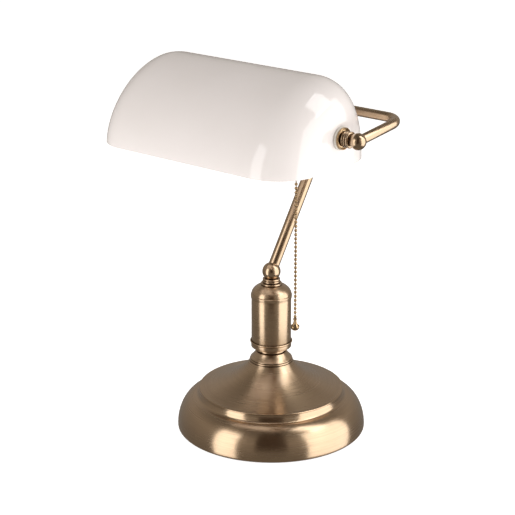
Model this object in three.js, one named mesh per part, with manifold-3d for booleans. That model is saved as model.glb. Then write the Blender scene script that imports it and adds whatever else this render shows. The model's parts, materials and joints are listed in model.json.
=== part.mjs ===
// Banker desk lamp: a weighted round foot, a short column, a bent stem, a U-shaped yoke and a glass shade.
// Millimetres, +Z up. The origin is the centre of the felt pad's underside; the lamp's front faces -Y.

import * as THREE from 'three';
import { ConvexGeometry } from 'three/addons/geometries/ConvexGeometry.js';
import { mergeVertices } from 'three/addons/utils/BufferGeometryUtils.js';
import Module from 'manifold-3d';

const wasm = await Module();
wasm.setup();

// ---- Driving dimensions -------------------------------------------------------------------------

const GAP = 0.3; // between pieces that touch
const SLACK = 0.4; // between a piece and what it turns or slides on
const HEX_BORE = 1.16; // a six-sided bore is this much wider at its corners than the thread it clears

// foot
const BASE_RADIUS = 89.2;
const BASE_WALL = 1.4;
const DOME_TOP_RADIUS = 70.4;
const DOME_TOP_HEIGHT = 31.2;
const STEP_RADIUS = 67.6;
const STEP_HEIGHT = 39.3;
const NECK_RADIUS = 20.4;
const NECK_HEIGHT = 66;
const FELT_THICKNESS = 2;
const FOOT_LIFT = 0.6; // the metal rim stays this far off the table
const GROMMET_RADIUS = 4.5;
const GROMMET_BORE = 2.6;
const GROMMET_Z = 9.5;
const BALLAST_RADIUS = 60;
const BALLAST_THICKNESS = 14;

// hollow rod that clamps the foot and the column together
const ROD_RADIUS = 5;
const ROD_BORE = 3.4;
const NUT_RADIUS = 9.2;
const NUT_THICKNESS = 5;
const WASHER_RADIUS = 16;
const WASHER_THICKNESS = 1.6;

// column
const RING_HEIGHT = 1.8;
const BELL_TOP_RADIUS = 14.5;
const BELL_HEIGHT = 7;
const CUP_FOOT_RADIUS = 13.8;
const CUP_HEIGHT = 10.7;
const SLEEVE_RADIUS = 18.7;
const SLEEVE_WALL = 1.2;
const SLEEVE_HEIGHT = 50.9;
const CUP_RIM_RADIUS = SLEEVE_RADIUS + 1.3; // a 1 mm lip round the sleeve
const CAP_BAND_RADIUS = SLEEVE_RADIUS + 0.6;
const CAP_BAND_HEIGHT = 3.4;
const CAP_DOME_HEIGHT = 9.2;
const CAP_OVERLAP = 2.6; // of the cap's band over the sleeve
const FLANGE_RADIUS = 9.9;
const FLANGE_HEIGHT = 1.8;
const COLLAR_RADIUS = 8.3;
const COLLAR_HEIGHT = 4;

// stem
const STEM_BALL_RADIUS = 8.6;
const STEM_BALL_SEAT = 0.71; // share of its radius left below the centre
const STEM_RADIUS = 5.2;
const TUBE_WALL = 1;
const STEM_LEAN = THREE.MathUtils.degToRad(33.5);
const STEM_STRAIGHT = 93; // from the ball's centre to the start of the bend

// yoke
const PIVOT_Y = -45.8;
const PIVOT_Z = 309.6;
const YOKE_RADIUS = 4.3;
const YOKE_REACH = 62.4; // the back bar stands this far behind the pivots
const YOKE_RISE = 7.1; // and this far above them
const YOKE_BEND = 15;
const HUB_RADIUS = 7.4;
const PIVOT_BALL_RADIUS = 7.2;

// glass shade
const SHADE_HALF_LENGTH = 112.5;
const SHADE_FRONT = 73.7; // from the pivots forward to the lower edge
const SHADE_REAR = 54.9; // from the pivots back to the lower edge
const SHADE_RIDGE = 2.9; // the ridge lies this far behind the pivots
const SHADE_HEIGHT = 74;
const SHADE_DROP = 26.3; // the lower edge lies this far below the pivots
const SHADE_CORNER = 37;
const SHADE_WALL = 3;
const FRONT_FULLNESS = 1.72; // exponents of the curve from lower edge to ridge
const REAR_FULLNESS = 2.2;
const PIVOT_HOLE_RADIUS = 6.5;

// pivot hardware, from the glass outwards
const GASKET_RADIUS = 10.2;
const GASKET_THICKNESS = 2;
const PIVOT_WASHER_RADIUS = 9.6;
const PIVOT_WASHER_THICKNESS = 1.8;
const THUMB_NUT_RADIUS = 7.2;
const THUMB_NUT_LENGTH = 7;
const NIPPLE_RADIUS = 3.8;
const NIPPLE_BORE = 2.5;
const INNER_NUT_RADIUS = 8.2;
const INNER_NUT_THICKNESS = 3.2;

// lampholder and bulb, on the right-hand pivot
const HOLDER_RADIUS = 17.5;
const HOLDER_WALL = 1.2;
const HOLDER_CAP_LENGTH = 15;
const HOLDER_SHELL_LENGTH = 46;
const INSULATOR_LENGTH = 24; // it also houses the pull switch
const LAMP_CAP_RADIUS = 13;
const LAMP_CAP_LENGTH = 24;
const BULB_RADIUS = 25;
const BULB_LENGTH = 84;

// pull chain
const CHAIN_SETBACK = 19.2; // from the holder's joint to the chain
const CHAIN_GUIDE_LENGTH = 6;
const BEAD_RADIUS = 1.5;
const BEAD_PITCH = 3.82;
const BEAD_COUNT = 39;
const LINK_RADIUS = 0.6;
const KNOB_RADIUS = 4;
const KNOB_LENGTH = 11.5;

// ---- Materials ----------------------------------------------------------------------------------

const metal = (color, roughness) => new THREE.MeshStandardMaterial({ color, roughness, metalness: 1 });
const plain = (color, roughness) => new THREE.MeshStandardMaterial({ color, roughness, metalness: 0 });

const satinBrass = metal(0xb0936a, 0.32);
const polishedBrass = metal(0xc7ab7c, 0.2);
const plainSteel = metal(0x9a9b9d, 0.4);
const castIron = metal(0x3b3b3d, 0.75);
const opalGlass = plain(0xf3efec, 0.12);
const felt = plain(0x2a2622, 0.98);
const rubber = plain(0xe9e4da, 0.7);
const insulation = plain(0xe8e3d6, 0.5);

// ---- Shape helpers ------------------------------------------------------------------------------

const FINE = 36;
const MEDIUM = 24;
const COARSE = 16;

const root = new THREE.Group();

function addMesh(parent, name, geometry, material) {
  const mesh = new THREE.Mesh(geometry, material);
  mesh.name = name;
  parent.add(mesh);
  return mesh;
}

// Volume enclosed by a closed geometry; negative when its faces point in.
function signedVolume(geometry) {
  const flat = geometry.index ? geometry.toNonIndexed() : geometry;
  const position = flat.attributes.position;
  const a = new THREE.Vector3();
  const b = new THREE.Vector3();
  const c = new THREE.Vector3();
  let volume = 0;
  for (let i = 0; i < position.count; i += 3) {
    a.fromBufferAttribute(position, i);
    b.fromBufferAttribute(position, i + 1);
    c.fromBufferAttribute(position, i + 2);
    volume += a.dot(b.cross(c)) / 6;
  }
  return volume;
}

function faceOut(geometry) {
  if (signedVolume(geometry) > 0) return geometry;
  const index = geometry.index.array;
  for (let i = 0; i < index.length; i += 3) {
    [index[i + 1], index[i + 2]] = [index[i + 2], index[i + 1]];
  }
  return geometry;
}

// Turns a profile of [radius, height] points about +Z. An open profile starts and ends on the axis.
function turned(points, segments = MEDIUM) {
  const profile = points.map(([r, z]) => new THREE.Vector2(r, z));
  const geometry = new THREE.LatheGeometry(profile, segments);
  geometry.rotateX(Math.PI / 2);
  return faceOut(geometry);
}

// A turned ring: the profile is closed back to its first point.
const turnedRing = (points, segments) => turned([...points, points[0]], segments);

// A plain washer or sleeve between two radii and two heights.
function sleeve(outer, inner, low, high, segments = MEDIUM) {
  return turnedRing([[inner, low], [outer, low], [outer, high], [inner, high]], segments);
}

// Points on an elliptic quarter from angle `from` to `to`, in degrees, about [centreR, centreZ].
function arcPoints(centreR, centreZ, radiusR, radiusZ, from, to, steps) {
  const points = [];
  for (let i = 0; i <= steps; i += 1) {
    const angle = THREE.MathUtils.degToRad(from + ((to - from) * i) / steps);
    points.push([centreR + radiusR * Math.cos(angle), centreZ + radiusZ * Math.sin(angle)]);
  }
  return points;
}

// Points on a quadratic curve between two [radius, height] ends.
function curvePoints(start, control, end, steps) {
  const curve = new THREE.QuadraticBezierCurve(
    new THREE.Vector2(...start),
    new THREE.Vector2(...control),
    new THREE.Vector2(...end),
  );
  return curve.getPoints(steps).map((p) => [p.x, p.y]);
}

function toSolid(geometry) {
  const bare = geometry.clone();
  bare.deleteAttribute('normal');
  bare.deleteAttribute('uv');
  const merged = mergeVertices(bare, 1e-5);
  const index = [];
  const source = merged.index.array;
  for (let i = 0; i < source.length; i += 3) {
    const [a, b, c] = [source[i], source[i + 1], source[i + 2]];
    if (a !== b && b !== c && c !== a) index.push(a, b, c);
  }
  return new wasm.Manifold(new wasm.Mesh({
    numProp: 3,
    vertProperties: new Float32Array(merged.attributes.position.array),
    triVerts: new Uint32Array(index),
  }));
}

function toGeometry(solid) {
  const mesh = solid.getMesh();
  const geometry = new THREE.BufferGeometry();
  geometry.setAttribute('position', new THREE.BufferAttribute(new Float32Array(mesh.vertProperties), 3));
  geometry.setIndex(new THREE.BufferAttribute(new Uint32Array(mesh.triVerts), 1));
  return geometry;
}

function cut(geometry, ...cutters) {
  let solid = toSolid(geometry);
  for (const cutter of cutters) solid = solid.subtract(toSolid(cutter));
  return toGeometry(solid);
}

// A cylinder of the given radius from one point to another.
function bar(radius, from, to, segments = MEDIUM) {
  const length = from.distanceTo(to);
  const geometry = new THREE.CylinderGeometry(radius, radius, length, segments);
  const direction = to.clone().sub(from).normalize();
  const turn = new THREE.Quaternion().setFromUnitVectors(new THREE.Vector3(0, 1, 0), direction);
  geometry.applyQuaternion(turn);
  const middle = from.clone().add(to).multiplyScalar(0.5);
  geometry.translate(middle.x, middle.y, middle.z);
  return geometry;
}

const vec = (x, y, z) => new THREE.Vector3(x, y, z);

// A circular bend that leaves `start` along `heading` and turns towards `inward` through `angle`.
class Bend extends THREE.Curve {
  constructor(start, heading, inward, radius, angle) {
    super();
    this.centre = start.clone().addScaledVector(inward, radius);
    this.outward = inward.clone().negate();
    this.heading = heading.clone();
    this.radius = radius;
    this.angle = angle;
  }

  getPoint(t) {
    const turn = this.angle * t;
    return this.centre.clone()
      .addScaledVector(this.outward, this.radius * Math.cos(turn))
      .addScaledVector(this.heading, this.radius * Math.sin(turn));
  }
}

// A path of pieces laid end to end, each with its own number of steps: one for a line, more for a bend.
class TubePath extends THREE.Curve {
  constructor(pieces) {
    super();
    this.pieces = pieces;
    this.steps = pieces.reduce((sum, piece) => sum + piece.steps, 0);
  }

  getPoint(t) {
    let step = t * this.steps;
    for (const { curve, steps } of this.pieces) {
      if (step <= steps) return curve.getPoint(step / steps);
      step -= steps;
    }
    return this.pieces.at(-1).curve.getPoint(1);
  }

  getPointAt(u) {
    return this.getPoint(u);
  }

  getTangentAt(u) {
    return this.getTangent(u);
  }
}

const BEND_STEPS = 6;
const straightPiece = (from, to) => ({ curve: new THREE.LineCurve3(from, to), steps: 1 });
const bendPiece = (curve, steps = BEND_STEPS) => ({ curve, steps });

// A hollow tube along a path of straight pieces and bends.
function tube(pieces, radius) {
  const path = new TubePath(pieces);
  const section = new THREE.Shape();
  section.absarc(0, 0, radius, 0, 2 * Math.PI, false);
  const hollow = new THREE.Path();
  hollow.absarc(0, 0, radius - TUBE_WALL, 0, 2 * Math.PI, true);
  section.holes.push(hollow);
  return new THREE.ExtrudeGeometry(section, {
    steps: path.steps,
    curveSegments: 7,
    bevelEnabled: false,
    extrudePath: path,
  });
}

// ---- Foot ---------------------------------------------------------------------------------------

function domeOutline(inset) {
  const radiusR = BASE_RADIUS - DOME_TOP_RADIUS;
  const widest = 2;
  return arcPoints(DOME_TOP_RADIUS, widest, radiusR - inset, DOME_TOP_HEIGHT - widest - inset, 0, 80, 7);
}

function coneOutline(inset) {
  const start = [STEP_RADIUS - inset, STEP_HEIGHT - inset];
  const end = [NECK_RADIUS - inset, NECK_HEIGHT - inset];
  const control = [NECK_RADIUS + 11.6 - inset, STEP_HEIGHT + 8.7 - inset];
  return curvePoints(start, control, end, 6);
}

function baseShell() {
  const rodHole = ROD_RADIUS + GAP;
  const outer = [
    [BASE_RADIUS - 1.4, FOOT_LIFT],
    ...domeOutline(0),
    [STEP_RADIUS + 3.2, DOME_TOP_HEIGHT + 0.2],
    [STEP_RADIUS + 1.5, DOME_TOP_HEIGHT + 2.4],
    [STEP_RADIUS + 0.3, STEP_HEIGHT - 1.6],
    ...coneOutline(0),
    [rodHole, NECK_HEIGHT],
  ];
  const inner = [
    [BASE_RADIUS - 1.4 - BASE_WALL, FOOT_LIFT],
    ...domeOutline(BASE_WALL),
    [STEP_RADIUS + 2.4 - BASE_WALL, DOME_TOP_HEIGHT - BASE_WALL],
    ...coneOutline(BASE_WALL),
    [rodHole, NECK_HEIGHT - BASE_WALL],
  ];
  const shell = turnedRing([...outer, ...inner.reverse()], FINE);
  const boreStart = vec(0, BASE_RADIUS - 20, GROMMET_Z);
  const boreEnd = vec(0, BASE_RADIUS + 5, GROMMET_Z);
  return cut(shell, bar(GROMMET_RADIUS + GAP, boreStart, boreEnd, COARSE));
}

const FELT_RADIUS = BASE_RADIUS - 1.4 - BASE_WALL - 1;
const NUT_BOTTOM = FELT_THICKNESS + 1.2;
const BALLAST_BOTTOM = NUT_BOTTOM + NUT_THICKNESS + WASHER_THICKNESS + 2 * GAP;
const RING_BOTTOM = NECK_HEIGHT + GAP;
const BELL_BOTTOM = RING_BOTTOM + RING_HEIGHT + GAP;
const CUP_BOTTOM = BELL_BOTTOM + BELL_HEIGHT + GAP;
const SLEEVE_BOTTOM = CUP_BOTTOM + 5;
const CAP_BOTTOM = SLEEVE_BOTTOM + SLEEVE_HEIGHT - CAP_OVERLAP;
const FLANGE_BOTTOM = CAP_BOTTOM + CAP_BAND_HEIGHT + CAP_DOME_HEIGHT + GAP;
const COLLAR_BOTTOM = FLANGE_BOTTOM + FLANGE_HEIGHT + GAP;
const STEM_BALL_Z = COLLAR_BOTTOM + COLLAR_HEIGHT + GAP + STEM_BALL_RADIUS * STEM_BALL_SEAT;

// The strip round the grommet's bore that grips the shell from outside and inside.
function cordGrommet() {
  const wallY = BASE_RADIUS - 0.4;
  const geometry = turnedRing([
    [GROMMET_BORE, -5],
    [GROMMET_RADIUS, -5],
    [GROMMET_RADIUS, 1.8],
    [GROMMET_RADIUS + 2, 1.8],
    [GROMMET_RADIUS + 1.4, 3.6],
    [GROMMET_BORE, 3.6],
  ], COARSE);
  geometry.rotateX(-Math.PI / 2);
  geometry.translate(0, wallY, GROMMET_Z);
  return geometry;
}

function addFoot() {
  const rodClear = ROD_RADIUS + GAP;
  addMesh(root, 'base_shell', baseShell(), satinBrass);
  addMesh(root, 'felt_pad', turned([
    [0, 0],
    [FELT_RADIUS, 0],
    [FELT_RADIUS, FELT_THICKNESS],
    [0, FELT_THICKNESS],
  ], FINE), felt);
  const nutTop = NUT_BOTTOM + NUT_THICKNESS;
  addMesh(root, 'base_nut',
    sleeve(NUT_RADIUS, ROD_RADIUS * HEX_BORE + GAP, NUT_BOTTOM, nutTop, 6), plainSteel);
  const washerBottom = nutTop + GAP;
  addMesh(root, 'base_washer',
    sleeve(WASHER_RADIUS, rodClear, washerBottom, washerBottom + WASHER_THICKNESS, COARSE), plainSteel);
  addMesh(root, 'ballast_weight', turnedRing([
    [rodClear, BALLAST_BOTTOM],
    [BALLAST_RADIUS, BALLAST_BOTTOM],
    [BALLAST_RADIUS, BALLAST_BOTTOM + BALLAST_THICKNESS * 0.6],
    [BALLAST_RADIUS - 6, BALLAST_BOTTOM + BALLAST_THICKNESS],
    [rodClear, BALLAST_BOTTOM + BALLAST_THICKNESS],
  ], MEDIUM), castIron);
  const rodTop = FLANGE_BOTTOM + FLANGE_HEIGHT;
  addMesh(root, 'tie_rod', sleeve(ROD_RADIUS, ROD_BORE, FELT_THICKNESS + GAP, rodTop, COARSE), plainSteel);
  addMesh(root, 'cord_grommet', cordGrommet(), rubber);
}

// ---- Column -------------------------------------------------------------------------------------

function addColumn() {
  const bore = ROD_RADIUS + GAP;
  addMesh(root, 'neck_ring', turnedRing([
    [bore, RING_BOTTOM],
    [NECK_RADIUS - 0.6, RING_BOTTOM],
    ...arcPoints(NECK_RADIUS - 0.9, RING_BOTTOM + RING_HEIGHT / 2, 1, RING_HEIGHT / 2, -70, 70, 5),
    [NECK_RADIUS - 1, RING_BOTTOM + RING_HEIGHT],
    [bore, RING_BOTTOM + RING_HEIGHT],
  ]), satinBrass);
  const bellFoot = NECK_RADIUS - 0.6;
  addMesh(root, 'neck_bell', turnedRing([
    [bore, BELL_BOTTOM],
    [bellFoot, BELL_BOTTOM],
    ...curvePoints(
      [bellFoot, BELL_BOTTOM + 0.6],
      [BELL_TOP_RADIUS + 2.3, BELL_BOTTOM + BELL_HEIGHT * 0.45],
      [BELL_TOP_RADIUS, BELL_BOTTOM + BELL_HEIGHT],
      5,
    ),
    [bore, BELL_BOTTOM + BELL_HEIGHT],
  ]), satinBrass);
  const lipTop = CUP_BOTTOM + CUP_HEIGHT;
  const bowlFoot = CUP_FOOT_RADIUS + 0.8;
  const seat = SLEEVE_BOTTOM - GAP;
  const sleeveOuter = SLEEVE_RADIUS + GAP;
  addMesh(root, 'column_cup', turnedRing([
    [bore, CUP_BOTTOM],
    [CUP_FOOT_RADIUS - 1.4, CUP_BOTTOM],
    ...arcPoints(CUP_FOOT_RADIUS - 1.4, CUP_BOTTOM + 1.6, 1.6, 1.5, -60, 70, 4),
    [CUP_FOOT_RADIUS - 0.6, CUP_BOTTOM + 3.3],
    ...curvePoints(
      [bowlFoot, CUP_BOTTOM + 3.6],
      [bowlFoot + 2.3, CUP_BOTTOM + 5.2],
      [CUP_RIM_RADIUS - 1.6, CUP_BOTTOM + 7.8],
      5,
    ),
    [CUP_RIM_RADIUS - 0.4, CUP_BOTTOM + 8.6],
    [CUP_RIM_RADIUS, lipTop],
    [CUP_RIM_RADIUS - 0.9, lipTop],
    [sleeveOuter, lipTop - 3.2],
    [sleeveOuter, seat],
    [bore, seat],
  ], FINE), satinBrass);
  addMesh(root, 'column_sleeve',
    sleeve(SLEEVE_RADIUS, SLEEVE_RADIUS - SLEEVE_WALL, SLEEVE_BOTTOM, SLEEVE_BOTTOM + SLEEVE_HEIGHT, FINE),
    satinBrass);
  const capSeat = SLEEVE_BOTTOM + SLEEVE_HEIGHT + GAP;
  const domeBase = CAP_BOTTOM + CAP_BAND_HEIGHT;
  const domeTop = domeBase + CAP_DOME_HEIGHT;
  addMesh(root, 'column_cap', turnedRing([
    [sleeveOuter, CAP_BOTTOM],
    [CAP_BAND_RADIUS - 0.3, CAP_BOTTOM],
    ...curvePoints(
      [CAP_BAND_RADIUS - 0.2, CAP_BOTTOM + 0.3],
      [CAP_BAND_RADIUS + 0.1, CAP_BOTTOM + CAP_BAND_HEIGHT * 0.5],
      [CAP_BAND_RADIUS, domeBase],
      4,
    ),
    ...curvePoints(
      [CAP_BAND_RADIUS - 0.4, domeBase + 0.2],
      [CAP_BAND_RADIUS - 1.5, domeBase + CAP_DOME_HEIGHT * 0.68],
      [FLANGE_RADIUS + 0.2, domeTop],
      6,
    ),
    [bore, domeTop],
    [bore, domeTop - 3],
    [FLANGE_RADIUS - 2, domeTop - 3.2],
    [SLEEVE_RADIUS - SLEEVE_WALL - GAP, capSeat],
    [sleeveOuter, capSeat],
  ], FINE), satinBrass);
  const flangeMiddle = FLANGE_BOTTOM + FLANGE_HEIGHT / 2;
  addMesh(root, 'cap_flange', turnedRing([
    [bore, FLANGE_BOTTOM],
    [FLANGE_RADIUS - 0.5, FLANGE_BOTTOM],
    ...arcPoints(FLANGE_RADIUS - 0.8, flangeMiddle, 0.9, FLANGE_HEIGHT / 2 - 0.1, -70, 70, 4),
    [bore, FLANGE_BOTTOM + FLANGE_HEIGHT],
  ]), satinBrass);
  const collar = ribbedProfile(ROD_BORE, COLLAR_RADIUS, COLLAR_BOTTOM, COLLAR_HEIGHT, 2);
  addMesh(root, 'swivel_collar', turnedRing(collar), satinBrass);
}

// A ring with evenly spaced round ribs on its outside.
function ribbedProfile(boreRadius, ribRadius, bottom, height, ribs) {
  const pitch = height / ribs;
  const points = [[boreRadius, bottom]];
  for (let i = 0; i < ribs; i += 1) {
    const middle = bottom + pitch * (i + 0.5);
    points.push(...arcPoints(ribRadius - 1, middle, 1, pitch * 0.47, -80, 80, 4));
  }
  points.push([boreRadius, bottom + height]);
  return points;
}

// ---- Stem and yoke ------------------------------------------------------------------------------

const BAR_POINT = vec(0, PIVOT_Y + YOKE_REACH, PIVOT_Z + YOKE_RISE);
const STEM_FOOT = vec(0, 0, STEM_BALL_Z);
const STEM_HEADING = vec(0, Math.sin(STEM_LEAN), Math.cos(STEM_LEAN));
const STEM_INWARD = vec(0, -Math.cos(STEM_LEAN), Math.sin(STEM_LEAN));

// The one circular bend that leaves the straight stem smoothly and runs through the hub's centre.
function stemBend() {
  const start = STEM_FOOT.clone().addScaledVector(STEM_HEADING, STEM_STRAIGHT);
  const chord = BAR_POINT.clone().sub(start);
  const radius = chord.lengthSq() / (2 * chord.dot(STEM_INWARD));
  const fullAngle = 2 * Math.asin(chord.length() / (2 * radius));
  const endShort = (YOKE_RADIUS + GAP) / radius;
  return new Bend(start, STEM_HEADING, STEM_INWARD, radius, fullAngle - endShort);
}

function addStem() {
  const bend = stemBend();
  const tubeStart = STEM_FOOT.clone().addScaledVector(STEM_HEADING, STEM_BALL_RADIUS * 0.25);
  const pieces = [straightPiece(tubeStart, bend.getPoint(0)), bendPiece(bend, 2 * BEND_STEPS)];
  addMesh(root, 'stem_tube', tube(pieces, STEM_RADIUS), satinBrass);
  const ball = new THREE.SphereGeometry(STEM_BALL_RADIUS, COARSE, COARSE - 6);
  ball.rotateX(Math.PI / 2);
  ball.translate(0, 0, STEM_BALL_Z);
  const flat = COLLAR_BOTTOM + COLLAR_HEIGHT + GAP;
  const below = new THREE.BoxGeometry(40, 40, 40);
  below.translate(0, 0, flat - 20);
  const socketEnd = STEM_FOOT.clone().addScaledVector(STEM_HEADING, STEM_BALL_RADIUS * 0.25 - GAP);
  const beyond = STEM_FOOT.clone().addScaledVector(STEM_HEADING, STEM_BALL_RADIUS * 2);
  const stemBore = bar(STEM_RADIUS + GAP, socketEnd, beyond);
  const wireWay = bar(ROD_BORE, vec(0, 0, flat - 5), vec(0, 0.8, STEM_BALL_Z + 3), COARSE);
  addMesh(root, 'stem_ball', cut(ball, below, stemBore, wireWay), satinBrass);

  const hub = new THREE.SphereGeometry(HUB_RADIUS, COARSE, COARSE - 6);
  hub.translate(BAR_POINT.x, BAR_POINT.y, BAR_POINT.z);
  const side = HUB_RADIUS * 2;
  const barBore = bar(YOKE_RADIUS + GAP, BAR_POINT.clone().setX(-side), BAR_POINT.clone().setX(side));
  const entry = bend.getPoint(1);
  const tangent = bend.getTangent(1);
  const entryStart = entry.clone().addScaledVector(tangent, GAP);
  const entryBore = bar(STEM_RADIUS + GAP, entryStart, entry.clone().addScaledVector(tangent, -side));
  addMesh(root, 'yoke_hub', cut(hub, barBore, entryBore), satinBrass);
}

// One half of the U: from the hub along the back bar, round the bend and forward to the pivot ball.
function addYokeArm(side, sign) {
  const ballX = sign * PIVOT_BALL_S;
  const armHeading = vec(0, -YOKE_REACH, -YOKE_RISE).normalize();
  const outward = vec(sign, 0, 0);
  const corner = BAR_POINT.clone().setX(ballX);
  const bendStart = corner.clone().addScaledVector(outward, -YOKE_BEND);
  const bend = new Bend(bendStart, outward, armHeading, YOKE_BEND, Math.PI / 2);
  const ballCentre = vec(ballX, PIVOT_Y, PIVOT_Z);
  const armEnd = ballCentre.clone().addScaledVector(armHeading, -NIPPLE_RADIUS - GAP);
  const backBar = straightPiece(BAR_POINT.clone().setX(sign * 0.4), bendStart);
  const arm = straightPiece(bend.getPoint(1), armEnd);
  addMesh(root, `yoke_arm_${side}`, tube([backBar, bendPiece(bend), arm], YOKE_RADIUS), satinBrass);

  const ball = new THREE.SphereGeometry(PIVOT_BALL_RADIUS, COARSE, COARSE - 6);
  ball.translate(ballX, PIVOT_Y, PIVOT_Z);
  const armBore = bar(YOKE_RADIUS + GAP,
    ballCentre.clone().addScaledVector(armHeading, -NIPPLE_RADIUS),
    ballCentre.clone().addScaledVector(armHeading, -PIVOT_BALL_RADIUS * 2));
  const nippleBore = bar(NIPPLE_RADIUS + GAP,
    ballCentre.clone().addScaledVector(outward, GAP),
    ballCentre.clone().addScaledVector(outward, -PIVOT_BALL_RADIUS * 2));
  const flatS = THUMB_NUT_S + THUMB_NUT_LENGTH + GAP;
  const trim = new THREE.BoxGeometry(20, 40, 40);
  trim.translate(sign * (flatS - 10), PIVOT_Y, PIVOT_Z);
  const solid = cut(ball, trim, armBore, nippleBore);
  addMesh(root, `pivot_ball_${side}`, solid, satinBrass);
}

// ---- Pivots -------------------------------------------------------------------------------------

// Distances from the lamp's middle plane, outwards along the pivot axis.
const GASKET_S = SHADE_HALF_LENGTH + GAP;
const PIVOT_WASHER_S = GASKET_S + GASKET_THICKNESS + GAP;
const THUMB_NUT_S = PIVOT_WASHER_S + PIVOT_WASHER_THICKNESS + GAP;
const PIVOT_BALL_S = THUMB_NUT_S + THUMB_NUT_LENGTH + PIVOT_BALL_RADIUS * 0.92;
const INNER_GASKET_S = SHADE_HALF_LENGTH - SHADE_WALL - GAP - GASKET_THICKNESS;
const INNER_NUT_S = INNER_GASKET_S - GAP - INNER_NUT_THICKNESS;
const NIPPLE_INNER_S = INNER_NUT_S - 8;

function addPivot(side, sign) {
  const axis = new THREE.Group();
  axis.position.set(0, PIVOT_Y, PIVOT_Z);
  axis.rotation.y = (sign * Math.PI) / 2;
  root.add(axis);
  const bore = NIPPLE_RADIUS + GAP;
  const turning = NIPPLE_RADIUS + SLACK;
  addMesh(axis, `outer_gasket_${side}`, turnedRing([
    [turning, SHADE_HALF_LENGTH - SHADE_WALL],
    [PIVOT_HOLE_RADIUS - GAP, SHADE_HALF_LENGTH - SHADE_WALL],
    [PIVOT_HOLE_RADIUS - GAP, GASKET_S],
    [GASKET_RADIUS, GASKET_S],
    [GASKET_RADIUS, GASKET_S + GASKET_THICKNESS],
    [turning, GASKET_S + GASKET_THICKNESS],
  ], COARSE + 4), rubber);
  addMesh(axis, `outer_washer_${side}`, turnedRing([
    [bore, PIVOT_WASHER_S],
    [PIVOT_WASHER_RADIUS - 0.4, PIVOT_WASHER_S],
    [PIVOT_WASHER_RADIUS, PIVOT_WASHER_S + 0.4],
    [PIVOT_WASHER_RADIUS, PIVOT_WASHER_S + PIVOT_WASHER_THICKNESS],
    [PIVOT_WASHER_RADIUS - 0.9, PIVOT_WASHER_S + PIVOT_WASHER_THICKNESS],
    [PIVOT_WASHER_RADIUS - 1.3, PIVOT_WASHER_S + PIVOT_WASHER_THICKNESS - 0.7],
    [THUMB_NUT_RADIUS, PIVOT_WASHER_S + PIVOT_WASHER_THICKNESS - 0.5],
    [bore, PIVOT_WASHER_S + PIVOT_WASHER_THICKNESS - 0.5],
  ], COARSE + 4), polishedBrass);
  const ribs = ribbedProfile(bore, THUMB_NUT_RADIUS, THUMB_NUT_S, THUMB_NUT_LENGTH, 3);
  addMesh(axis, `thumb_nut_${side}`, turnedRing(ribs, COARSE + 4), satinBrass);
  addMesh(axis, `inner_gasket_${side}`,
    sleeve(GASKET_RADIUS - 1, turning, INNER_GASKET_S, INNER_GASKET_S + GASKET_THICKNESS, COARSE), rubber);
  const innerNutEnd = INNER_NUT_S + INNER_NUT_THICKNESS;
  addMesh(axis, `inner_nut_${side}`,
    sleeve(INNER_NUT_RADIUS, NIPPLE_RADIUS * HEX_BORE + GAP, INNER_NUT_S, innerNutEnd, 6),
    plainSteel);
  if (sign > 0) {
    addMesh(axis, 'pivot_nipple_right',
      sleeve(NIPPLE_RADIUS, NIPPLE_BORE, NIPPLE_INNER_S, PIVOT_BALL_S, COARSE), plainSteel);
  } else {
    addMesh(axis, 'pivot_screw_left', turned([
      [0, INNER_NUT_S - 2],
      [NIPPLE_RADIUS, INNER_NUT_S - 2],
      [NIPPLE_RADIUS, PIVOT_BALL_S],
      [0, PIVOT_BALL_S],
    ], COARSE), plainSteel);
  }
}

// ---- Glass shade --------------------------------------------------------------------------------

// The closed outer form of the shade, shrunk by `inset` on every side and carried below its lower edge.
function shadeForm(inset) {
  const ridgeY = PIVOT_Y + SHADE_RIDGE;
  const edgeZ = PIVOT_Z - SHADE_DROP;
  const front = SHADE_FRONT + SHADE_RIDGE - inset;
  const rear = SHADE_REAR - SHADE_RIDGE - inset;
  const height = SHADE_HEIGHT - inset;
  const halfLength = SHADE_HALF_LENGTH - inset;
  const corner = SHADE_CORNER - inset;
  const rings = 7;
  const around = 26;
  const points = [];
  for (let i = 0; i <= rings; i += 1) {
    const turn = (i / rings) * (Math.PI / 2);
    const x = halfLength - corner + corner * Math.sin(turn);
    const shrink = corner * (1 - Math.cos(turn));
    for (let j = 0; j <= around; j += 1) {
      const angle = (j / around) * Math.PI;
      const forward = Math.cos(angle);
      const fullness = forward > 0 ? FRONT_FULLNESS : REAR_FULLNESS;
      const reach = (forward > 0 ? front : rear) - shrink;
      const y = ridgeY - Math.sign(forward) * reach * Math.abs(forward) ** (2 / fullness);
      const z = edgeZ + (height - shrink) * Math.sin(angle) ** (2 / fullness);
      points.push(vec(x, y, z), vec(-x, y, z));
      if (j === 0 || j === around) points.push(vec(x, y, edgeZ - 10), vec(-x, y, edgeZ - 10));
    }
  }
  return new ConvexGeometry(points);
}

function addShade() {
  const edgeZ = PIVOT_Z - SHADE_DROP;
  const below = new THREE.BoxGeometry(4 * SHADE_HALF_LENGTH, 400, 100);
  below.translate(0, 0, edgeZ - 50);
  const reach = SHADE_HALF_LENGTH + 10;
  const leftEnd = vec(-reach, PIVOT_Y, PIVOT_Z);
  const rightEnd = vec(reach, PIVOT_Y, PIVOT_Z);
  const hole = bar(PIVOT_HOLE_RADIUS, leftEnd, rightEnd, COARSE + 4);
  const glass = cut(shadeForm(0), shadeForm(SHADE_WALL), below, hole);
  addMesh(root, 'glass_shade', glass, opalGlass);
}

// ---- Lampholder, bulb and pull chain ------------------------------------------------------------

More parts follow.
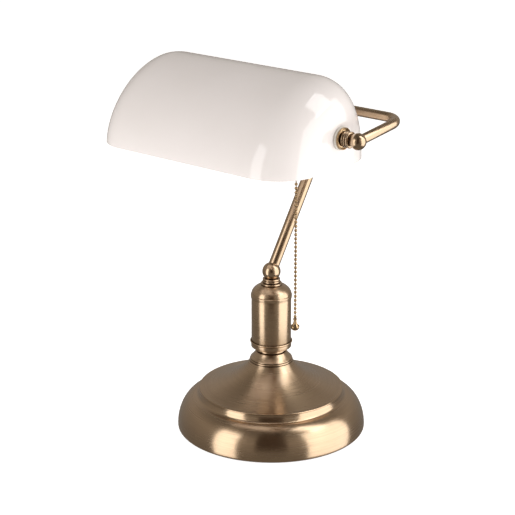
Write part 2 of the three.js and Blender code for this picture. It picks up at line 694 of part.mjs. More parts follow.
const HOLDER_CAP_S = NIPPLE_INNER_S + 4; // outer end of the holder's cap
const HOLDER_JOINT_S = HOLDER_CAP_S - HOLDER_CAP_LENGTH;
const HOLDER_MOUTH_S = HOLDER_JOINT_S - HOLDER_SHELL_LENGTH;
const CHAIN_X = HOLDER_JOINT_S - CHAIN_SETBACK;
const INSULATOR_S = HOLDER_JOINT_S - GAP - INSULATOR_LENGTH;
const CONTACT_THICKNESS = 1;
const LAMP_CAP_S = INSULATOR_S - GAP - CONTACT_THICKNESS - GAP; // inner end of the lamp's screw cap

function addLampholder() {
  const axis = new THREE.Group();
  axis.position.set(0, PIVOT_Y, PIVOT_Z);
  axis.rotation.y = Math.PI / 2;
  root.add(axis);
  const bore = NIPPLE_RADIUS + GAP;
  const inner = HOLDER_RADIUS - HOLDER_WALL;
  addMesh(axis, 'holder_cap', turnedRing([
    [HOLDER_RADIUS, HOLDER_JOINT_S + GAP],
    ...arcPoints(HOLDER_RADIUS - 9, HOLDER_JOINT_S + 3, 9, HOLDER_CAP_LENGTH - 7, 0, 90, 5),
    [bore + 3, HOLDER_CAP_S],
    [bore, HOLDER_CAP_S],
    [bore, HOLDER_CAP_S - 5],
    ...arcPoints(HOLDER_RADIUS - 9, HOLDER_JOINT_S + 3, 9 - HOLDER_WALL, HOLDER_CAP_LENGTH - 8.4, 90, 0, 5),
    [inner, HOLDER_JOINT_S + GAP],
  ]), polishedBrass);
  const mouth = turnedRing([
    [HOLDER_RADIUS, HOLDER_MOUTH_S],
    [HOLDER_RADIUS + 0.8, HOLDER_MOUTH_S + 1],
    [HOLDER_RADIUS, HOLDER_MOUTH_S + 2],
    [HOLDER_RADIUS, HOLDER_JOINT_S],
    [inner, HOLDER_JOINT_S],
    [inner, HOLDER_MOUTH_S],
  ]);
  const guideHole = bar(GUIDE_RADIUS + GAP,
    vec(HOLDER_RADIUS - 5, 0, CHAIN_X), vec(HOLDER_RADIUS + 5, 0, CHAIN_X), COARSE);
  addMesh(axis, 'holder_shell', cut(mouth, guideHole), polishedBrass);
  const core = turned([
    [0, INSULATOR_S],
    [inner - GAP, INSULATOR_S],
    [inner - GAP, INSULATOR_S + INSULATOR_LENGTH],
    [0, INSULATOR_S + INSULATOR_LENGTH],
  ]);
  const stirrupWell = bar(GUIDE_RADIUS + GAP,
    vec(HOLDER_RADIUS - 12, 0, CHAIN_X), vec(HOLDER_RADIUS + 5, 0, CHAIN_X), COARSE);
  addMesh(axis, 'holder_insulator', cut(core, stirrupWell), insulation);
  addMesh(axis, 'centre_contact', turned([
    [0, LAMP_CAP_S + GAP],
    [5, LAMP_CAP_S + GAP],
    [5, LAMP_CAP_S + GAP + CONTACT_THICKNESS],
    [0, LAMP_CAP_S + GAP + CONTACT_THICKNESS],
  ], COARSE), polishedBrass);
  addMesh(axis, 'bulb_cap', threadedCap(), plainSteel);
  const neck = LAMP_CAP_RADIUS - 1;
  const neckS = LAMP_CAP_S - LAMP_CAP_LENGTH - GAP;
  const globeS = neckS - BULB_LENGTH + BULB_RADIUS;
  const shoulder = [BULB_RADIUS * 0.9, globeS + BULB_RADIUS * 0.44];
  addMesh(axis, 'bulb_globe', turned([
    [0, neckS],
    [neck, neckS],
    ...curvePoints([neck, neckS - 3], [neck + 2, neckS - 22], shoulder, 5),
    ...arcPoints(0, globeS, BULB_RADIUS, BULB_RADIUS, 18, -84, 9),
    [0, globeS - BULB_RADIUS],
  ]), opalGlass);
}

// The lamp's screw cap, with its thread as round rings.
function threadedCap() {
  const pitch = 3.6;
  const turns = 5;
  const points = [[0, LAMP_CAP_S], [5, LAMP_CAP_S], [8.5, LAMP_CAP_S - 3]];
  for (let i = 0; i < turns; i += 1) {
    const s = LAMP_CAP_S - 3 - pitch * i;
    points.push([LAMP_CAP_RADIUS - 1, s - 0.4], [LAMP_CAP_RADIUS, s - pitch / 2]);
  }
  points.push([LAMP_CAP_RADIUS - 1, LAMP_CAP_S - LAMP_CAP_LENGTH], [0, LAMP_CAP_S - LAMP_CAP_LENGTH]);
  return turned(points, COARSE + 4);
}

const GUIDE_RADIUS = 3;
const GUIDE_TOP = PIVOT_Z - HOLDER_RADIUS + 4;
const GUIDE_MOUTH = PIVOT_Z - HOLDER_RADIUS - CHAIN_GUIDE_LENGTH;
const SWING_Z = GUIDE_MOUTH + BEAD_RADIUS;

function addPullChain() {
  const bore = BEAD_RADIUS + SLACK;
  const place = (geometry) => geometry.translate(CHAIN_X, PIVOT_Y, 0);
  addMesh(root, 'chain_guide', place(turnedRing([
    [bore, GUIDE_MOUTH],
    [GUIDE_RADIUS + 1.4, GUIDE_MOUTH],
    [GUIDE_RADIUS + 1, GUIDE_MOUTH + 1],
    [GUIDE_RADIUS, GUIDE_MOUTH + 2.4],
    [GUIDE_RADIUS, GUIDE_TOP],
    [bore, GUIDE_TOP],
  ], COARSE)), polishedBrass);
  const stirrupFoot = SWING_Z + BEAD_RADIUS + GAP;
  addMesh(root, 'chain_stirrup', place(turned([
    [0, stirrupFoot],
    [LINK_RADIUS * 1.6, stirrupFoot],
    [LINK_RADIUS * 1.6, GUIDE_TOP],
    [BEAD_RADIUS, GUIDE_TOP + 0.6],
    [BEAD_RADIUS, GUIDE_TOP + 2],
    [0, GUIDE_TOP + 2],
  ], 12)), polishedBrass);
  const bead = new THREE.SphereGeometry(BEAD_RADIUS, 12, 8);
  bead.translate(0, 0, SWING_Z);
  addMesh(root, 'chain_top_bead', place(bead), polishedBrass);
  const firstBead = SWING_Z - BEAD_PITCH;
  addMesh(root, 'pull_chain', place(turned(chainProfile(firstBead), 6)), polishedBrass);
  const knobTop = firstBead - BEAD_PITCH * (BEAD_COUNT - 1) - BEAD_RADIUS - GAP;
  addMesh(root, 'chain_knob', place(turned([
    [0, knobTop],
    [KNOB_RADIUS * 0.42, knobTop],
    [KNOB_RADIUS * 0.5, knobTop - KNOB_LENGTH * 0.16],
    ...curvePoints(
      [KNOB_RADIUS * 0.36, knobTop - KNOB_LENGTH * 0.24],
      [KNOB_RADIUS * 0.5, knobTop - KNOB_LENGTH * 0.42],
      [KNOB_RADIUS * 0.94, knobTop - KNOB_LENGTH * 0.58],
      4,
    ),
    ...arcPoints(0, knobTop - KNOB_LENGTH + KNOB_RADIUS, KNOB_RADIUS, KNOB_RADIUS, 10, -80, 6),
    [0, knobTop - KNOB_LENGTH],
  ], COARSE)), polishedBrass);
}

// Beads joined by short links, from the top bead down.
function chainProfile(topBead) {
  const linkHalf = Math.asin(LINK_RADIUS / BEAD_RADIUS);
  const open = 90 - THREE.MathUtils.radToDeg(linkHalf);
  const points = [[0, topBead + BEAD_RADIUS - GAP]];
  for (let i = 0; i < BEAD_COUNT; i += 1) {
    points.push(...arcPoints(0, topBead - BEAD_PITCH * i, BEAD_RADIUS, BEAD_RADIUS, open, -open, 3));
  }
  points.push([0, topBead - BEAD_PITCH * (BEAD_COUNT - 1) - BEAD_RADIUS]);
  return points;
}

// ---- Assembly -----------------------------------------------------------------------------------

addFoot();
addColumn();
addStem();
for (const [side, sign] of [['right', 1], ['left', -1]]) {
  addYokeArm(side, sign);
  addPivot(side, sign);
}
addShade();
addLampholder();
addPullChain();

export default root;
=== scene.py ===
"""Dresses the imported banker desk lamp: brass foot, column, stem and yoke, opal glass shade and pull chain.

Every length in the classes is in millimetres, and Spindle and the shaping functions turn it into metres.
"""

import json
import logging
import math
from collections.abc import Callable, Iterable, Sequence
from dataclasses import dataclass, field
from enum import Enum
from typing import Any

import bpy
from mathutils import Matrix, Vector


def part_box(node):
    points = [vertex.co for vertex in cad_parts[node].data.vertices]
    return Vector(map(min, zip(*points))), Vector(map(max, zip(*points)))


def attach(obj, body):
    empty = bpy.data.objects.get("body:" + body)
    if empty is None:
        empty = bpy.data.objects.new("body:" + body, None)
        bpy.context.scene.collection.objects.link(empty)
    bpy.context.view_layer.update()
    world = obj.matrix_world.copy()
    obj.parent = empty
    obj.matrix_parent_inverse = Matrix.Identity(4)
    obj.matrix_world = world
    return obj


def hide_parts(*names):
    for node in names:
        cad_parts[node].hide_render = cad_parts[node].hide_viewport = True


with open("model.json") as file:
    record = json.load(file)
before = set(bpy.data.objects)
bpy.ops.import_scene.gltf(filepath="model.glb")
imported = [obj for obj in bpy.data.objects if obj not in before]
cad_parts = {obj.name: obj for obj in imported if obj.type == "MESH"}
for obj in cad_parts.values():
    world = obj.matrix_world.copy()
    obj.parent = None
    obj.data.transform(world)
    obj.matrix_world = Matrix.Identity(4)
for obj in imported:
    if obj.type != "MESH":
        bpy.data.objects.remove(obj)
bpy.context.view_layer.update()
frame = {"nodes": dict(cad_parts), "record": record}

Object = bpy.types.Object
Socket = bpy.types.NodeSocket
Point = tuple[float, float]
Profile = list[Point]
Colour = tuple[float, float, float]

MM = 0.001
MERGE = 2e-6
GAP = 0.3  # clearance between neighbouring pieces
SNUG = 0.08  # clearance of a tube in its socket
ROD_HOLE = 5.3  # radius of the hole for the tie rod
THREAD_RADIUS = 3.8  # of the pivots' threaded nipple and screw

log = logging.getLogger("lamp")


# ---- Frame ----


@dataclass(frozen=True)
class Extent:
    """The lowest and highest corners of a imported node, in millimetres."""

    low: Vector
    high: Vector

    @classmethod
    def of(cls, node: str) -> "Extent":
        """Reads a node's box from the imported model."""
        low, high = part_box(node)
        return cls(low / MM, high / MM)

    @property
    def middle(self) -> Vector:
        """The centre of the box."""
        return (self.low + self.high) / 2

    @classmethod
    def turned(cls, node: str) -> tuple[float, float, float]:
        """The radius, the foot and the top of a node turned about the column's axis."""
        box = cls.of(node)
        return box.high.x, box.low.z, box.high.z


def body_of_node(node: str) -> str:
    """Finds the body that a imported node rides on.

    Args:
        node: The node's name.

    Returns:
        The name of the body.
    """
    bodies = frame["record"]["behaviour"]["bodies"]
    return next(body for body, nodes in bodies.items() if node in nodes)


# ---- Drawing and shaping ----


def arc(centre: Point, radii: Point, start: float, end: float, steps: int) -> Profile:
    """Points along part of an ellipse in a profile.

    Args:
        centre: Distance from the axis and height of the centre.
        radii: Half widths across and along the axis.
        start: First angle in degrees; 0 points away from the axis.
        end: Last angle in degrees.
        steps: Number of equal steps.

    Returns:
        The points from start to end.
    """
    turns = (math.radians(start + (end - start) * i / steps) for i in range(steps + 1))
    return [(centre[0] + radii[0] * math.cos(t), centre[1] + radii[1] * math.sin(t)) for t in turns]


def sweep(start: Point, pull: Point, end: Point, steps: int) -> Profile:
    """Points along a smooth curve that leaves start and reaches end, drawn towards pull.

    Args:
        start: First point.
        pull: The point that the curve leans to.
        end: Last point.
        steps: Number of equal steps.

    Returns:
        The points from start to end.
    """
    points = []
    for i in range(steps + 1):
        t = i / steps
        weights = ((1 - t) ** 2, 2 * t * (1 - t), t**2)
        points.append(tuple(sum(w * p[k] for w, p in zip(weights, (start, pull, end))) for k in (0, 1)))
    return points


def let_go() -> None:
    """Leaves edit mode and deselects every object."""
    active = bpy.context.view_layer.objects.active
    if active is not None and active.mode != "OBJECT":
        bpy.ops.object.mode_set(mode="OBJECT")
    bpy.ops.object.select_all(action="DESELECT")


def take(piece: Object) -> None:
    """Makes a piece the only selected object."""
    let_go()
    piece.select_set(True)
    bpy.context.view_layer.objects.active = piece


def settle(piece: Object) -> None:
    """Puts the piece's place, turn and size into its mesh, so that its object sits at the origin."""
    take(piece)
    bpy.ops.object.transform_apply(location=True, rotation=True, scale=True)


def named(name: str) -> Object:
    """Names the primitive just added and settles it."""
    piece = bpy.context.object
    piece.name = name
    piece.data.name = name
    settle(piece)
    return piece


def edit_vertices(piece: Object) -> None:
    """Opens the piece in edit mode with every vertex selected."""
    take(piece)
    bpy.ops.object.mode_set(mode="EDIT")
    bpy.ops.mesh.select_mode(type="VERT")
    bpy.ops.mesh.select_all(action="SELECT")


def heal(piece: Object) -> None:
    """Merges doubles and turns every face outwards."""
    edit_vertices(piece)
    bpy.ops.mesh.remove_doubles(threshold=MERGE)
    bpy.ops.mesh.normals_make_consistent(inside=False)
    bpy.ops.object.mode_set(mode="OBJECT")


def pull(shift: Vector) -> None:
    """Extrudes what is selected in edit mode by a shift in metres."""
    bpy.ops.mesh.extrude_region_move(TRANSFORM_OT_translate={"value": tuple(shift)})


def start_vertex(name: str, place: Vector) -> Object:
    """Adds a small plane and merges it to the one vertex that a profile is drawn from.

    Args:
        name: The piece's name.
        place: Where the profile starts, in metres.

    Returns:
        The piece, open in edit mode with its vertex selected.
    """
    let_go()
    bpy.ops.mesh.primitive_plane_add(size=MM, location=place)
    piece = named(name)
    edit_vertices(piece)
    bpy.ops.mesh.merge(type="CENTER")
    return piece


def apply_modifier(piece: Object, kind: str, **settings: Any) -> None:
    """Adds a modifier and applies it.

    Args:
        piece: The piece to change.
        kind: The modifier's type, as its operator names it.
        **settings: Its settings.
    """
    take(piece)
    modifier = piece.modifiers.new(kind.title(), kind)
    for key, value in settings.items():
        setattr(modifier, key, value)
    bpy.ops.object.modifier_apply(modifier=modifier.name)


def thicken(piece: Object, wall: float) -> None:
    """Gives an outer skin a wall that grows inwards, in millimetres."""
    apply_modifier(piece, "SOLIDIFY", thickness=wall * MM, offset=-1.0, use_even_offset=True, use_rim=True)


def ease_edges(piece: Object, width: float, segments: int = 2, angle: float = 32.0) -> None:
    """Rounds the sharp edges a little, as a polished turning has them.

    Args:
        piece: The piece to round.
        width: Width of the rounding in millimetres.
        segments: Number of steps across it.
        angle: Edges flatter than this, in degrees, stay.
    """
    limits = {"limit_method": "ANGLE", "angle_limit": math.radians(angle)}
    apply_modifier(piece, "BEVEL", width=width * MM, segments=segments, use_clamp_overlap=True, **limits)


def smooth(piece: Object, angle: float = 38.0) -> Object:
    """Shades the piece smooth but for edges sharper than the angle, in degrees."""
    take(piece)
    bpy.ops.object.shade_smooth_by_angle(angle=math.radians(angle))
    let_go()
    return piece


def rod_between(name: str, radius: float, start: Vector, end: Vector, sides: int = 48) -> Object:
    """A round bar used as a drill.

    Args:
        name: The bar's name.
        radius: Radius in millimetres.
        start: One end in millimetres.
        end: The other end in millimetres.
        sides: Number of sides.

    Returns:
        The bar.
    """
    let_go()
    run = end - start
    turn = run.to_track_quat("Z", "Y").to_euler()
    bpy.ops.mesh.primitive_cylinder_add(
        vertices=sides,
        radius=radius * MM,
        depth=run.length * MM,
        location=(start + end) / 2 * MM,
        rotation=turn,
    )
    return named(name)


def bore(piece: Object, *drills: Object) -> None:
    """Cuts each drill out of the piece and throws the drill away."""
    for drill in drills:
        apply_modifier(piece, "BOOLEAN", operation="DIFFERENCE", solver="EXACT", object=drill)
        bpy.data.objects.remove(drill)


@dataclass(frozen=True)
class Spindle:
    """The axis that a piece is turned about, with profile points as (distance from it, distance along it)."""

    centre: Vector = Vector((0, 0, 0))
    along: Vector = Vector((0, 0, 1))
    out: Vector = Vector((1, 0, 0))

    def at(self, point: Point) -> Vector:
        """The place of a profile point, in metres."""
        return (self.centre + self.out * point[0] + self.along * point[1]) * MM

    def turn(self, name: str, profile: Sequence[Point], steps: int = 64, closed: bool = True) -> Object:
        """Draws a profile point by point and spins it once round.

        Args:
            name: The piece's name.
            profile: The outline, from one end to the other.
            steps: Steps in a full turn.
            closed: Whether the outline runs back to its first point, as a ring's does.

        Returns:
            The turned piece, closed and facing out.
        """
        points = [*profile, profile[0]] if closed else list(profile)
        piece = start_vertex(name, self.at(points[0]))
        for before, after in zip(points, points[1:]):
            pull(self.at(after) - self.at(before))
        bpy.ops.mesh.select_all(action="SELECT")
        bpy.ops.mesh.spin(steps=steps, angle=2 * math.pi, center=self.centre * MM, axis=self.along)
        heal(piece)
        return piece


UPRIGHT = Spindle()


@dataclass(frozen=True)
class Elbow:
    """A round bend that leaves start along heading and turns towards inward, in millimetres and radians."""

    start: Vector
    heading: Vector
    inward: Vector
    radius: float
    angle: float

    @property
    def centre(self) -> Vector:
        """The bend's centre."""
        return self.start + self.inward * self.radius

    @property
    def axis(self) -> Vector:
        """The axis that turns heading towards inward."""
        return self.heading.cross(self.inward).normalized()

    @property
    def end_heading(self) -> Vector:
        """The direction in which the bend is left."""
        return Matrix.Rotation(self.angle, 3, self.axis) @ self.heading

    @property
    def end(self) -> Vector:
        """The point where the bend is left."""
        return self.centre + Matrix.Rotation(self.angle, 3, self.axis) @ (self.start - self.centre)


@dataclass(frozen=True)
class DrawnTube:
    """A tube that runs straight, round one elbow and straight again."""

    radius: float
    wall: float
    sides: int = 40

    def build(self, name: str, start: Vector, elbow: Elbow, last: float, steps: int) -> Object:
        """Extrudes a ring along the run and spins it round the elbow.

        Args:
            name: The piece's name.
            start: The middle of the first end, in millimetres.
            elbow: The bend.
            last: Length of the straight after the bend, in millimetres, or nothing for none.
            steps: Steps round the bend.

        Returns:
            The tube with its wall.
        """
        let_go()
        run = elbow.start - start
        bpy.ops.mesh.primitive_circle_add(
            vertices=self.sides,
            radius=self.radius * MM,
            fill_type="NOTHING",
            location=start * MM,
            rotation=run.to_track_quat("Z", "Y").to_euler(),
        )
        piece = named(name)
        edit_vertices(piece)
        pull(run * MM)
        bpy.ops.mesh.spin(
            steps=steps, angle=-elbow.angle, center=elbow.centre * MM, axis=elbow.axis, use_auto_merge=False
        )
        if last > 0:
            pull(elbow.end_heading * last * MM)
        heal(piece)
        thicken(piece, self.wall)
        ease_edges(piece, 0.2, angle=60)
        return smooth(piece)


def trimmed_ball(name: str, radius: float, centre: Vector, *flats: tuple[Vector, Vector]) -> Object:
    """A ball with flats cut across it.

    Args:
        name: The piece's name.
        radius: Radius in millimetres.
        centre: Centre in millimetres.
        *flats: For each flat, a point on it in millimetres and the direction of the part cut away.

    Returns:
        The ball.
    """
    let_go()
    bpy.ops.mesh.primitive_uv_sphere_add(segments=56, ring_count=36, radius=radius * MM, location=centre * MM)
    piece = named(name)
    for flat, facing in flats:
        edit_vertices(piece)
        bpy.ops.mesh.bisect(plane_co=flat * MM, plane_no=facing, use_fill=True, clear_outer=True)
        bpy.ops.object.mode_set(mode="OBJECT")
        heal(piece)
    return piece


def plain_ring(bore_radius: float, radius: float, low: float, high: float) -> Profile:
    """The closed profile of a ring with square edges."""
    return [(bore_radius, low), (radius, low), (radius, high), (bore_radius, high)]


# ---- Finishes ----


class Board:
    """A material's node tree, with short ways of adding and joining nodes."""

    def __init__(self, name: str) -> None:
        """Starts a material with its one surface shader."""
        self.material = bpy.data.materials.new(name)
        self.material.use_nodes = True
        self.nodes = self.material.node_tree.nodes
        self.links = self.material.node_tree.links
        self.shader = next(n for n in self.nodes if n.type == "BSDF_PRINCIPLED")

    def add(self, kind: str, **settings: Any) -> bpy.types.Node:
        """Adds a node with its settings."""
        node = self.nodes.new(kind)
        for key, value in settings.items():
            setattr(node, key, value)
        return node

    def feed(self, target: Socket, value: Socket | float | Sequence[float]) -> None:
        """Joins a socket to the target, or sets the target to a constant."""
        if isinstance(value, bpy.types.NodeSocket):
            self.links.new(value, target)
        else:
            target.default_value = value

    def set(self, **values: float | Sequence[float]) -> None:
        """Sets the shader's own sockets, with _ for a space in their names."""
        for key, value in values.items():
            self.shader.inputs[key.replace("_", " ")].default_value = value

    def surface(self, name: str, value: Socket) -> None:
        """Joins a pattern to one of the shader's sockets."""
        self.links.new(value, self.shader.inputs[name])

    def place(self, centre: Vector = Vector(), turn: Sequence[float] = (0, 0, 0)) -> Socket:
        """Object coordinates about a centre in millimetres, turned by angles in radians."""
        coordinates = self.add("ShaderNodeTexCoord").outputs["Object"]
        mapping = self.add("ShaderNodeMapping", vector_type="TEXTURE")
        self.feed(mapping.inputs["Vector"], coordinates)
        self.feed(mapping.inputs["Location"], centre * MM)
        self.feed(mapping.inputs["Rotation"], turn)
        return mapping.outputs[0]

    def sum(self, operation: str, *values: Socket | float) -> Socket:
        """The result of one sum."""
        node = self.add("ShaderNodeMath", operation=operation)
        for target, value in zip(node.inputs, values):
            self.feed(target, value)
        return node.outputs[0]

    def noise(self, at: Socket, scale: float, detail: float = 3.0, roughness: float = 0.5) -> Socket:
        """Noise with a scale in waves to the metre."""
        node = self.add("ShaderNodeTexNoise")
        self.feed(node.inputs["Vector"], at)
        self.feed(node.inputs["Scale"], scale)
        self.feed(node.inputs["Detail"], detail)
        self.feed(node.inputs["Roughness"], roughness)
        return node.outputs["Fac"]

    def spread(self, value: Socket, low: float, high: float, start: float = 0.3, end: float = 0.7) -> Socket:
        """Stretches the part of a pattern between start and end to run from low to high."""
        node = self.add("ShaderNodeMapRange", clamp=True)
        for key, number in (("From Min", start), ("From Max", end), ("To Min", low), ("To Max", high)):
            self.feed(node.inputs[key], number)
        self.feed(node.inputs["Value"], value)
        return node.outputs[0]

    def blend(self, amount: Socket | float, first: Socket | Colour, second: Socket | Colour) -> Socket:
        """Mixes two colours."""
        node = self.add("ShaderNodeMix", data_type="RGBA")
        self.feed(node.inputs["Factor"], amount)
        for key, colour in (("A", first), ("B", second)):
            target = next(s for s in node.inputs if s.name == key and s.type == "RGBA")
            self.feed(target, colour if isinstance(colour, bpy.types.NodeSocket) else (*colour, 1.0))
        return next(s for s in node.outputs if s.type == "RGBA")

    def relief(self, height: Socket, depth: float, strength: float = 1.0) -> None:
        """Feeds a height pattern to the surface, with its depth in millimetres."""
        node = self.add("ShaderNodeBump")
        self.feed(node.inputs["Height"], height)
        self.feed(node.inputs["Distance"], depth * MM)
        self.feed(node.inputs["Strength"], strength)
        self.surface("Normal", node.outputs[0])

    def two_tone(self, pattern: Socket, dark: Colour, light: Colour) -> None:
        """Colours the surface from dark to light with a pattern."""
        self.surface("Base Color", self.blend(self.spread(pattern, 0.0, 1.0), dark, light))

    def weigh(self, first: Socket, share: float, second: Socket) -> Socket:
        """Two patterns in one, the first with its share and the second with the rest."""
        return self.sum("ADD", self.sum("MULTIPLY", first, share), self.sum("MULTIPLY", second, 1 - share))

    def hollow(self, reach: float) -> Socket:
        """How open the surface is within a reach in millimetres: 1 in the open and less in grooves."""
        node = self.add("ShaderNodeAmbientOcclusion", samples=6)
        self.feed(node.inputs["Distance"], reach * MM)
        return node.outputs["AO"]


@dataclass(frozen=True)
class Finish:
    """A finish with the record's slot it belongs to. Each kind draws its own pattern."""

    slot: str = ""

    def draw(self, board: Board) -> None:
        """Draws the finish on a new board."""
        raise NotImplementedError

    def material(self) -> bpy.types.Material:
        """The material, made the first time it is asked for."""
        name = f"{type(self).__name__}_{abs(hash_of(self)):06d}"
        found = bpy.data.materials.get(name)
        if found is not None:
            return found
        board = Board(name)
        self.draw(board)
        return board.material


def hash_of(finish: Finish) -> int:
    """A short number that is the same in every run for the same finish."""
    total = 7
    for letter in repr(finish):
        total = (total * 31 + ord(letter)) % 999983
    return total


@dataclass(frozen=True)
class BrushedBrass(Finish):
    """Lacquered antique brass with fine lines brushed round a turned piece."""

    slot: str = "satin_brass"
    light: Colour = (0.60, 0.435, 0.28)
    dark: Colour = (0.49, 0.345, 0.215)
    # Colour that the grooves are darkened to: antique patina and painted shade together.
    patina: Colour = (0.16, 0.085, 0.04)
    roughness: float = 0.30
    directional: float = 0.72
    lines: float = 1500.0
    line_depth: float = 0.012
    # Reach of the occlusion that darkens grooves with patina and painted shade, in millimetres.
    groove: float = 1.4
    polished_beyond: float = 0.0
    polish: float = 0.06
    wander: float = 0.012
    centre: tuple[float, float, float] = (0.0, 0.0, 0.0)
    turn: tuple[float, float, float] = (0.0, 0.0, 0.0)

    def rings(self, board: Board, at: Socket) -> tuple[Socket, Socket]:
        """Lines that follow the turning, each a little uneven, and the distance from the axis."""
        split = board.add("ShaderNodeSeparateXYZ")
        board.feed(split.inputs[0], at)
        x, y, z = split.outputs
        away = board.sum("SQRT", board.sum("ADD", board.sum("MULTIPLY", x, x), board.sum("MULTIPLY", y, y)))
        uneven = [board.sum("ADD", away, board.sum("MULTIPLY", x, self.wander))]
        uneven.append(board.sum("ADD", z, board.sum("MULTIPLY", y, self.wander)))
        join = board.add("ShaderNodeCombineXYZ")
        for target, value in zip(join.inputs, uneven):
            board.feed(target, value)
        return join.outputs[0], uneven[0]

    def draw(self, board: Board) -> None:
        """Draws the brush lines, the cloudy lacquer, and dark grooves that are partly patina and partly
        painted shade.
        """
        at = board.place(Vector(self.centre), self.turn)
        rings, away = self.rings(board, at)
        fine = board.noise(rings, self.lines, 2.0, 0.6)
        broad = board.noise(rings, self.lines * 0.22, 3.0, 0.6)
        clouds = board.noise(at, 45.0, 3.0)
        marks = board.weigh(fine, 0.6, broad)
        tone = board.sum("ADD", board.spread(marks, 0.0, 0.7), board.spread(clouds, 0.0, 0.3))
        brass = board.blend(tone, self.dark, self.light)
        # Ambient occlusion darkens the grooves towards the dark tone: partly antique patina, partly painted
        # shade.
        patina_and_shade_mask = board.spread(board.hollow(self.groove), 0.0, 1.0, 0.25, 0.95)
        board.surface("Base Color", board.blend(patina_and_shade_mask, self.patina, brass))
        rough = board.spread(marks, self.roughness + 0.06, self.roughness - 0.06)
        if self.polished_beyond:
            edge = self.polished_beyond * MM
            rough = board.sum("SUBTRACT", rough, board.spread(away, 0.0, self.polish, edge - MM, edge + MM))
        board.surface("Roughness", rough)
        axis = "X" if any(self.turn) else "Z"
        tangent = board.add("ShaderNodeTangent", direction_type="RADIAL", axis=axis)
        board.surface("Tangent", tangent.outputs[0])
        board.relief(marks, self.line_depth)
        board.set(Metallic=1.0, Anisotropic=self.directional, Anisotropic_Rotation=0.25)
        board.set(Coat_Weight=0.8, Coat_Roughness=0.2)


@dataclass(frozen=True)
class DrawnBrass(Finish):
    """Lacquered brass tube, sanded fine along its length."""

    slot: str = "satin_brass"
    light: Colour = (0.58, 0.42, 0.27)
    dark: Colour = (0.47, 0.33, 0.205)
    roughness: float = 0.24
    grain: float = 2600.0

    def draw(self, board: Board) -> None:
        """Draws short sanding marks and a cloudy lacquer."""
        at = board.place()
        grain = board.noise(at, self.grain, 2.0, 0.65)
        clouds = board.noise(at, 60.0, 4.0)
        tone = board.sum("ADD", board.spread(grain, 0.0, 0.45), board.spread(clouds, 0.0, 0.55))
        board.surface("Base Color", board.blend(tone, self.dark, self.light))
        board.surface("Roughness", board.spread(grain, self.roughness + 0.05, self.roughness - 0.04))
        board.relief(grain, 0.006)
        board.set(Metallic=1.0, Coat_Weight=0.8, Coat_Roughness=0.16)


@dataclass(frozen=True)
class PolishedBrass(Finish):
    """Bright brass with faint rub marks, and hollows darkened as partly patina and partly painted shade."""

    slot: str = "polished_brass"
    light: Colour = (0.60, 0.43, 0.25)
    dark: Colour = (0.36, 0.23, 0.115)
    # Colour that the hollows are darkened to: antique patina and painted shade together.
    patina: Colour = (0.20, 0.11, 0.05)
    roughness: float = 0.14
    # Reach of the occlusion that darkens hollows with patina and painted shade, in millimetres.
    groove: float = 0.9

    def draw(self, board: Board) -> None:
        """Draws rub marks over two tones of brass, with the hollows darkened as patina and painted shade."""
        at = board.place()
        rubs = board.noise(at, 700.0, 4.0, 0.6)
        brass = board.blend(board.spread(rubs, 0.0, 1.0), self.dark, self.light)
        # Ambient occlusion darkens the hollows towards the dark tone: partly antique patina, partly painted
        # shade.
        patina_and_shade_mask = board.spread(board.hollow(self.groove), 0.0, 1.0, 0.2, 0.9)
        board.surface("Base Color", board.blend(patina_and_shade_mask, self.patina, brass))
        board.surface("Roughness", board.spread(rubs, self.roughness - 0.04, self.roughness + 0.07))
        board.relief(rubs, 0.004)
        board.set(Metallic=1.0, Coat_Weight=0.2, Coat_Roughness=0.08)


@dataclass(frozen=True)
class OpalGlass(Finish):
    """White opal glass: a milky body under a fire-polished skin."""

    slot: str = "opal_glass"
    body: Colour = (0.82, 0.77, 0.75)
    milk: Colour = (0.85, 0.80, 0.785)
    roughness: float = 0.09

    def draw(self, board: Board) -> None:
        """Draws slow clouds in the milk and a faint waviness of the skin."""
        at = board.place()
        clouds = board.noise(at, 14.0, 3.0, 0.45)
        seeds = board.noise(at, 420.0, 2.0, 0.4)
        board.two_tone(clouds, self.body, self.milk)
        board.surface("Roughness", board.spread(seeds, self.roughness - 0.02, self.roughness + 0.03))
        board.relief(clouds, 0.35, 0.35)
        board.set(Specular_IOR_Level=0.55, IOR=1.5, Coat_Weight=0.4, Coat_Roughness=0.03)


@dataclass(frozen=True)
class PlainSteel(Finish):
    """Zinc-plated steel with a fine crystal sheen."""

    slot: str = "plated_steel"
    light: Colour = (0.66, 0.67, 0.68)
    dark: Colour = (0.42, 0.43, 0.45)
    roughness: float = 0.32

    def draw(self, board: Board) -> None:
        """Draws the zinc's crystals and fine turning marks."""
        at = board.place()
        crystals = board.add("ShaderNodeTexVoronoi", feature="F1")
        board.feed(crystals.inputs["Vector"], at)
        board.feed(crystals.inputs["Scale"], 900.0)
        grain = board.noise(at, 1500.0, 3.0, 0.6)
        mix = board.sum("ADD", board.sum("MULTIPLY", crystals.outputs["Distance"], 0.5), grain)
        board.surface("Base Color", board.blend(board.spread(mix, 0.0, 1.0, 0.4, 1.1), self.dark, self.light))
        board.surface("Roughness", board.spread(grain, self.roughness - 0.06, self.roughness + 0.1))
        board.relief(grain, 0.01)
        board.set(Metallic=1.0)


@dataclass(frozen=True)
class Felt(Finish):
    """Pressed wool felt."""

    slot: str = "felt"
    light: Colour = (0.055, 0.047, 0.040)
    dark: Colour = (0.018, 0.015, 0.013)

    def draw(self, board: Board) -> None:
        """Draws tangled fibres in two sizes with a soft sheen."""
        at = board.place()
        fibres = board.noise(at, 2400.0, 5.0, 0.75)
        tufts = board.noise(at, 320.0, 4.0, 0.6)
        both = board.weigh(fibres, 0.6, tufts)
        board.two_tone(both, self.dark, self.light)
        board.surface("Roughness", board.spread(fibres, 0.88, 1.0))
        board.relief(both, 0.25)
        board.set(Sheen_Weight=0.35, Sheen_Roughness=0.5)


